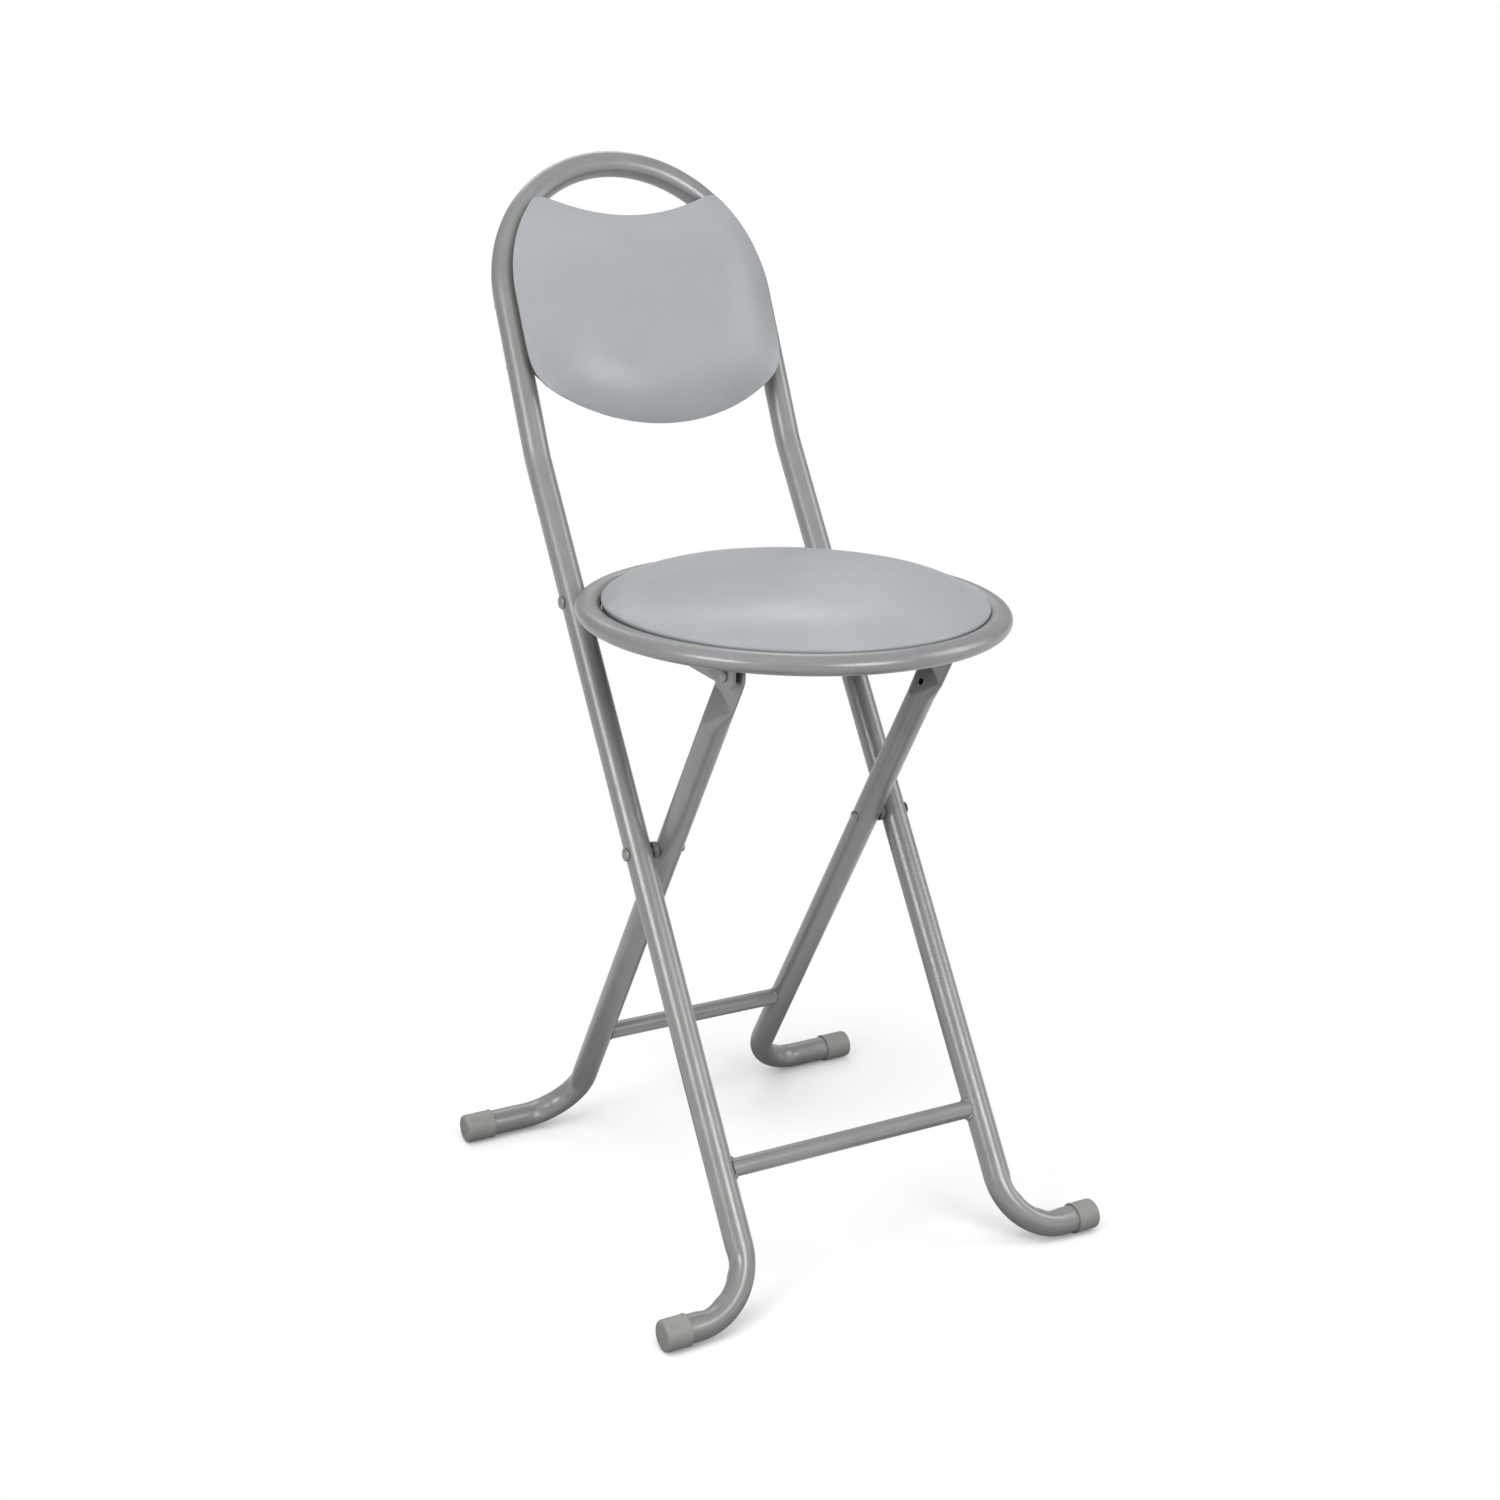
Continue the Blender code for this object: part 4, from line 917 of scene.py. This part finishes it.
def make_back_pad():
    count = 256
    outline = []
    for k in range(count):
        angle = 2 * math.pi * k / count
        reach = pad_reach(angle)
        outline.append(Vector((reach * math.cos(angle), reach * math.sin(angle), 0)))
    bm = bmesh.new()
    levels = [(0.985, 0.0), (0.991, 0.0008), (0.996, 0.0018), (0.999, 0.0027), (1.0, PAD_EDGE)]
    crown = (0.999, 0.995, 0.988, 0.978, 0.964, 0.945, 0.92, 0.89, 0.85, 0.80, 0.74, 0.67, 0.59, 0.50, 0.41,
             0.32, 0.23, 0.14, 0.06)
    levels += [(share, None) for share in crown]
    rings = []
    for share, height in levels:
        ring = []
        for k, point in enumerate(outline):
            spot = point * share
            wobble = noise.noise(spot * 16 + Vector((0, 0, 5.2))) * 0.0006 * (1 - share ** 6)
            pucker = 0.00018 * math.sin(k * 0.91 + 2 * math.sin(k * 0.13)) * smoothstep(0.90, 0.985, share)
            level = height
            if level is None:
                inside = max(pad_inside(spot.x, spot.y) - pad_inside(point.x, point.y) * share ** 10, 0.0)
                open_share = 1 - min(inside / PAD_ROLL, 1.0)
                level = PAD_EDGE + PAD_CROWN * (1 - open_share ** 2.4) + wobble + pucker
            ring.append(bm.verts.new((spot.x, spot.y, level)))
        rings.append(ring)
    for lower, upper in zip(rings, rings[1:]):
        bridge(bm, lower, upper)
    bm.faces.new(list(reversed(rings[0])))
    top = bm.verts.new((0, 0, sum(corner.co.z for corner in rings[-1]) / count))
    for k in range(count):
        bm.faces.new((rings[-1][k], rings[-1][(k + 1) % count], top))
    pad = piece("backrest_cushion_skin", to_mesh("backrest_cushion_skin", bm), VINYL, "outer_frame",
                ["backrest_cushion"], 60, back_frame(BACK_BOARD_OUT + BACK_BOARD_THICK + CLEAR))


def make_back_screw(name, side, height):
    """A screw from behind through a rail into the backrest board: a low head with a cross recess."""
    aim = Vector((side * math.sin(BACK_SCREW_TURN), 0, 0)) - BACK_OUT * math.cos(BACK_SCREW_TURN)
    turn = aim.to_track_quat("Z", "Y").to_matrix().to_4x4()
    at_head = Matrix.Translation(PIVOT + back_point(side * RAIL_X, height) + aim * TUBE_R) @ turn
    profile = [(BACK_HEAD_R * math.sin(math.pi / 2 * i / 8), BACK_HEAD * math.cos(math.pi / 2 * i / 8))
               for i in range(9)]
    profile += [(BACK_HEAD_R, -0.0009), (BACK_SCREW_R, -0.0015), (BACK_SCREW_R, -BACK_SCREW_LENGTH),
                (0, -BACK_SCREW_LENGTH)]
    screw = piece(name, turned(name, profile, 32), STEEL, "outer_frame",
                  [name.replace("visible_", "")], 50, at_head)
    tools = []
    for turned_by in (RECESS_TURN, RECESS_TURN + math.pi / 2):
        bm = bmesh.new()
        bmesh.ops.create_cube(bm, size=1, matrix=Matrix.Diagonal((*RECESS, 1)))
        at_arm = at_head @ Matrix.Translation((0, 0, BACK_HEAD)) @ Matrix.Rotation(turned_by, 4, "Z")
        tools.append((to_mesh("recess", bm), at_arm))
    carve(screw, tools)


def repaint(look, *names):
    """Give carried-over CAD nodes their look."""
    for name in names:
        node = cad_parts[name]
        node.data.materials.clear()
        node.data.materials.append(look)


make_frame_tube()
make_ring()
make_seat_cushion()
make_back_pad()
make_bar("front_crossbar", RAIL_X, RAIL_DIR, FRONT_BAR_DROP, "outer_frame")
make_bar("rear_crossbar", LEG_X, LEG_DIR, REAR_BAR_DROP, "rear_legs")
rail_face = RAIL_X + TUBE_R
leg_face = LEG_X - TUBE_R
for side, label in ((-1, "left"), (1, "right")):
    make_leg(side, label)
    cap_piece(f"cap_front_{label}", side, RAIL_X, RAIL_DIR, FRONT_CAP_LENGTH, "outer_frame",
              f"foot_cap_front_{label}")
    cap_piece(f"cap_rear_{label}", side, LEG_X, LEG_DIR, REAR_CAP_LENGTH, "rear_legs",
              f"foot_cap_rear_{label}")
    rivet(f"rivet_pivot_{label}", side, Vector(), rail_face, leg_face, "outer_frame", f"pivot_rivet_{label}")
    rivet(f"rivet_catch_{label}", side, CATCH, rail_face, BRACKET_IN, "outer_frame", f"catch_pin_{label}",
          tail=None)
    rivet(f"rivet_seat_{label}", side, SEAT_PIVOT, BRACKET_OUT, LEG_X - FLAT_THICK / 2, "rear_legs",
          f"seat_rivet_{label}")
    bush(f"bush_pivot_{label}", side, Vector(), LEG_X + TUBE_R, RAIL_X - TUBE_R, "outer_frame",
         f"pivot_bush_{label}")
    bush(f"bush_seat_{label}", side, SEAT_PIVOT, FLAT_OUT, BRACKET_IN, "rear_legs", f"seat_bush_{label}")
    make_bracket(side, label)
    for number, height in enumerate(BACK_SCREW_HEIGHTS):
        make_back_screw(f"visible_backrest_screw_{number + (1 if side < 0 else 3)}", side, height)
repaint(BOARD, "seat_board", "backrest_board")
repaint(STEEL, *[f"seat_screw_{i}" for i in range(1, 5)])


# Camera, floor and light
FLOOR_NEAR = 0.035  # from the feet out to where their shadow begins to fade
FLOOR_FAR = 0.150  # and to where it has gone
FLOOR_GLOW = 0.10  # added there, for the camera alone, to bring the lit floor up to white
FLOOR_SEEN = 0.92  # how pale the floor is to the camera
FLOOR_BOUNCE = 0.30  # and to the light that it sends back up
SPOT_BLEND = 0.03
WORLD_FILL = 0.44  # the world's strength on the object, where 1 is white
LAMP_AIM = Vector((0, 0, 0.35))
PHOTO_SIDE = 1500
PHOTO_FOCAL = 2124.2  # in pixels of the photo, as is its centre
PHOTO_CENTRE = (741.97, 748.78)
SENSOR = 36.0
FOOT_SPOTS = [(side * x, y) for side in (-1, 1)
              for x, y in ((0.125, -0.21), (0.165, -0.21), (0.100, 0.1276), (0.135, 0.1276), (0.165, 0.1276))]


def make_camera():
    """The camera that was fitted to the photo: where it stands, its turn, its dip and its slight roll."""
    data = bpy.data.cameras.new("photo_camera")
    data.sensor_width = SENSOR
    data.lens = PHOTO_FOCAL / PHOTO_SIDE * SENSOR
    data.shift_x = (PHOTO_SIDE / 2 - PHOTO_CENTRE[0]) / PHOTO_SIDE
    data.shift_y = (PHOTO_CENTRE[1] - PHOTO_SIDE / 2) / PHOTO_SIDE
    data.clip_start = 0.01
    camera = bpy.data.objects.new("photo_camera", data)
    camera.matrix_world = (Matrix.Translation((-0.7167, -1.2858, 0.7497))
                           @ Matrix.Rotation(math.radians(-29.13), 4, "Z")
                           @ Matrix.Rotation(math.radians(90 - 16.03), 4, "X")
                           @ Matrix.Rotation(math.radians(0.393), 4, "Z"))
    bpy.context.scene.collection.objects.link(camera)
    bpy.context.scene.camera = camera


def make_floor():
    """A pale floor that keeps the shadow near the object and runs out to plain white further off."""
    bm = bmesh.new()
    bmesh.ops.create_grid(bm, x_segments=1, y_segments=1, size=30)
    mesh = to_mesh("floor", bm)
    floor = bpy.data.objects.new("floor", mesh)
    bpy.context.scene.collection.objects.link(floor)
    material = bpy.data.materials.new("floor")
    material.use_nodes = True
    tree = material.node_tree
    tree.nodes.clear()
    link = tree.links.new

    def add(kind, **values):
        node = tree.nodes.new(kind)
        for name, value in values.items():
            setattr(node, name, value)
        return node

    path = add("ShaderNodeLightPath")
    seen = path.outputs["Is Camera Ray"]
    for kind in ("Is Glossy Ray", "Is Transmission Ray"):
        either = add("ShaderNodeMath", operation="MAXIMUM")
        link(seen, either.inputs[0])
        link(path.outputs[kind], either.inputs[1])
        seen = either.outputs[0]
    place = add("ShaderNodeTexCoord")
    nearest = None
    for x, y in FOOT_SPOTS:
        distance = add("ShaderNodeVectorMath", operation="DISTANCE")
        link(place.outputs["Object"], distance.inputs[0])
        distance.inputs[1].default_value = (x, y, 0)
        if nearest is None:
            nearest = distance.outputs["Value"]
            continue
        least = add("ShaderNodeMath", operation="SMOOTH_MIN")
        least.inputs[2].default_value = SPOT_BLEND
        link(nearest, least.inputs[0])
        link(distance.outputs["Value"], least.inputs[1])
        nearest = least.outputs[0]
    fade = add("ShaderNodeMapRange", interpolation_type="SMOOTHSTEP")
    fade.inputs["From Min"].default_value = FLOOR_NEAR
    fade.inputs["From Max"].default_value = FLOOR_FAR
    link(nearest, fade.inputs["Value"])
    share = add("ShaderNodeMath", operation="MULTIPLY")
    link(fade.outputs["Result"], share.inputs[0])
    link(seen, share.inputs[1])
    diffuse = add("ShaderNodeBsdfDiffuse")
    paleness = add("ShaderNodeMapRange")
    paleness.inputs["To Min"].default_value = FLOOR_BOUNCE
    paleness.inputs["To Max"].default_value = FLOOR_SEEN
    link(path.outputs["Is Camera Ray"], paleness.inputs["Value"])
    link(paleness.outputs["Result"], diffuse.inputs["Color"])
    glow = add("ShaderNodeEmission")
    level = add("ShaderNodeMath", operation="MULTIPLY")
    level.inputs[1].default_value = FLOOR_GLOW
    link(path.outputs["Is Camera Ray"], level.inputs[0])
    link(level.outputs[0], glow.inputs["Strength"])
    near = add("ShaderNodeAddShader")
    link(diffuse.outputs[0], near.inputs[0])
    link(glow.outputs[0], near.inputs[1])
    white = add("ShaderNodeEmission")
    mixed = add("ShaderNodeMixShader")
    link(share.outputs[0], mixed.inputs[0])
    link(near.outputs[0], mixed.inputs[1])
    link(white.outputs[0], mixed.inputs[2])
    output = add("ShaderNodeOutputMaterial")
    link(mixed.outputs[0], output.inputs["Surface"])
    mesh.materials.append(material)


def make_lamp(name, place, size, energy, shine=True):
    """A soft lamp aimed at the seat; one without shine lights the surfaces but shows no reflection."""
    data = bpy.data.lights.new(name, "AREA")
    data.shape = "RECTANGLE"
    data.size, data.size_y = size
    data.energy = energy
    lamp = bpy.data.objects.new(name, data)
    aim = LAMP_AIM - Vector(place)
    lamp.matrix_world = Matrix.Translation(place) @ aim.to_track_quat("-Z", "Y").to_matrix().to_4x4()
    lamp.visible_glossy = shine
    bpy.context.scene.collection.objects.link(lamp)


def make_world():
    """Even white light, and plain white behind the object."""
    world = bpy.data.worlds.new("studio")
    world.use_nodes = True
    tree = world.node_tree
    background = tree.nodes["Background"]
    path = tree.nodes.new("ShaderNodeLightPath")
    seen = tree.nodes.new("ShaderNodeMath")
    seen.operation = "MAXIMUM"
    strength = tree.nodes.new("ShaderNodeMapRange")
    strength.inputs["To Min"].default_value = WORLD_FILL
    strength.inputs["To Max"].default_value = 1.0
    tree.links.new(path.outputs["Is Camera Ray"], seen.inputs[0])
    tree.links.new(path.outputs["Is Transmission Ray"], seen.inputs[1])
    tree.links.new(seen.outputs[0], strength.inputs["Value"])
    tree.links.new(strength.outputs["Result"], background.inputs["Strength"])
    background.inputs["Color"].default_value = (1, 1, 1, 1)
    bpy.context.scene.world = world


make_camera()
make_floor()
make_lamp("key_lamp", (-0.9, -0.6, 2.6), (2.4, 2.4), 38, shine=False)
make_lamp("left_lamp", (-2.1, -0.85, 1.25), (1.0, 0.8), 15)
make_lamp("front_lamp", (0.3, -2.4, 1.35), (1.0, 0.9), 19)
make_lamp("fill_lamp", (2.2, -1.0, 1.5), (1.2, 1.6), 15)
make_lamp("back_lamp", (0.6, 2.2, 2.2), (2.0, 1.0), 12)
make_world()
bpy.context.scene.view_settings.view_transform = "Standard"
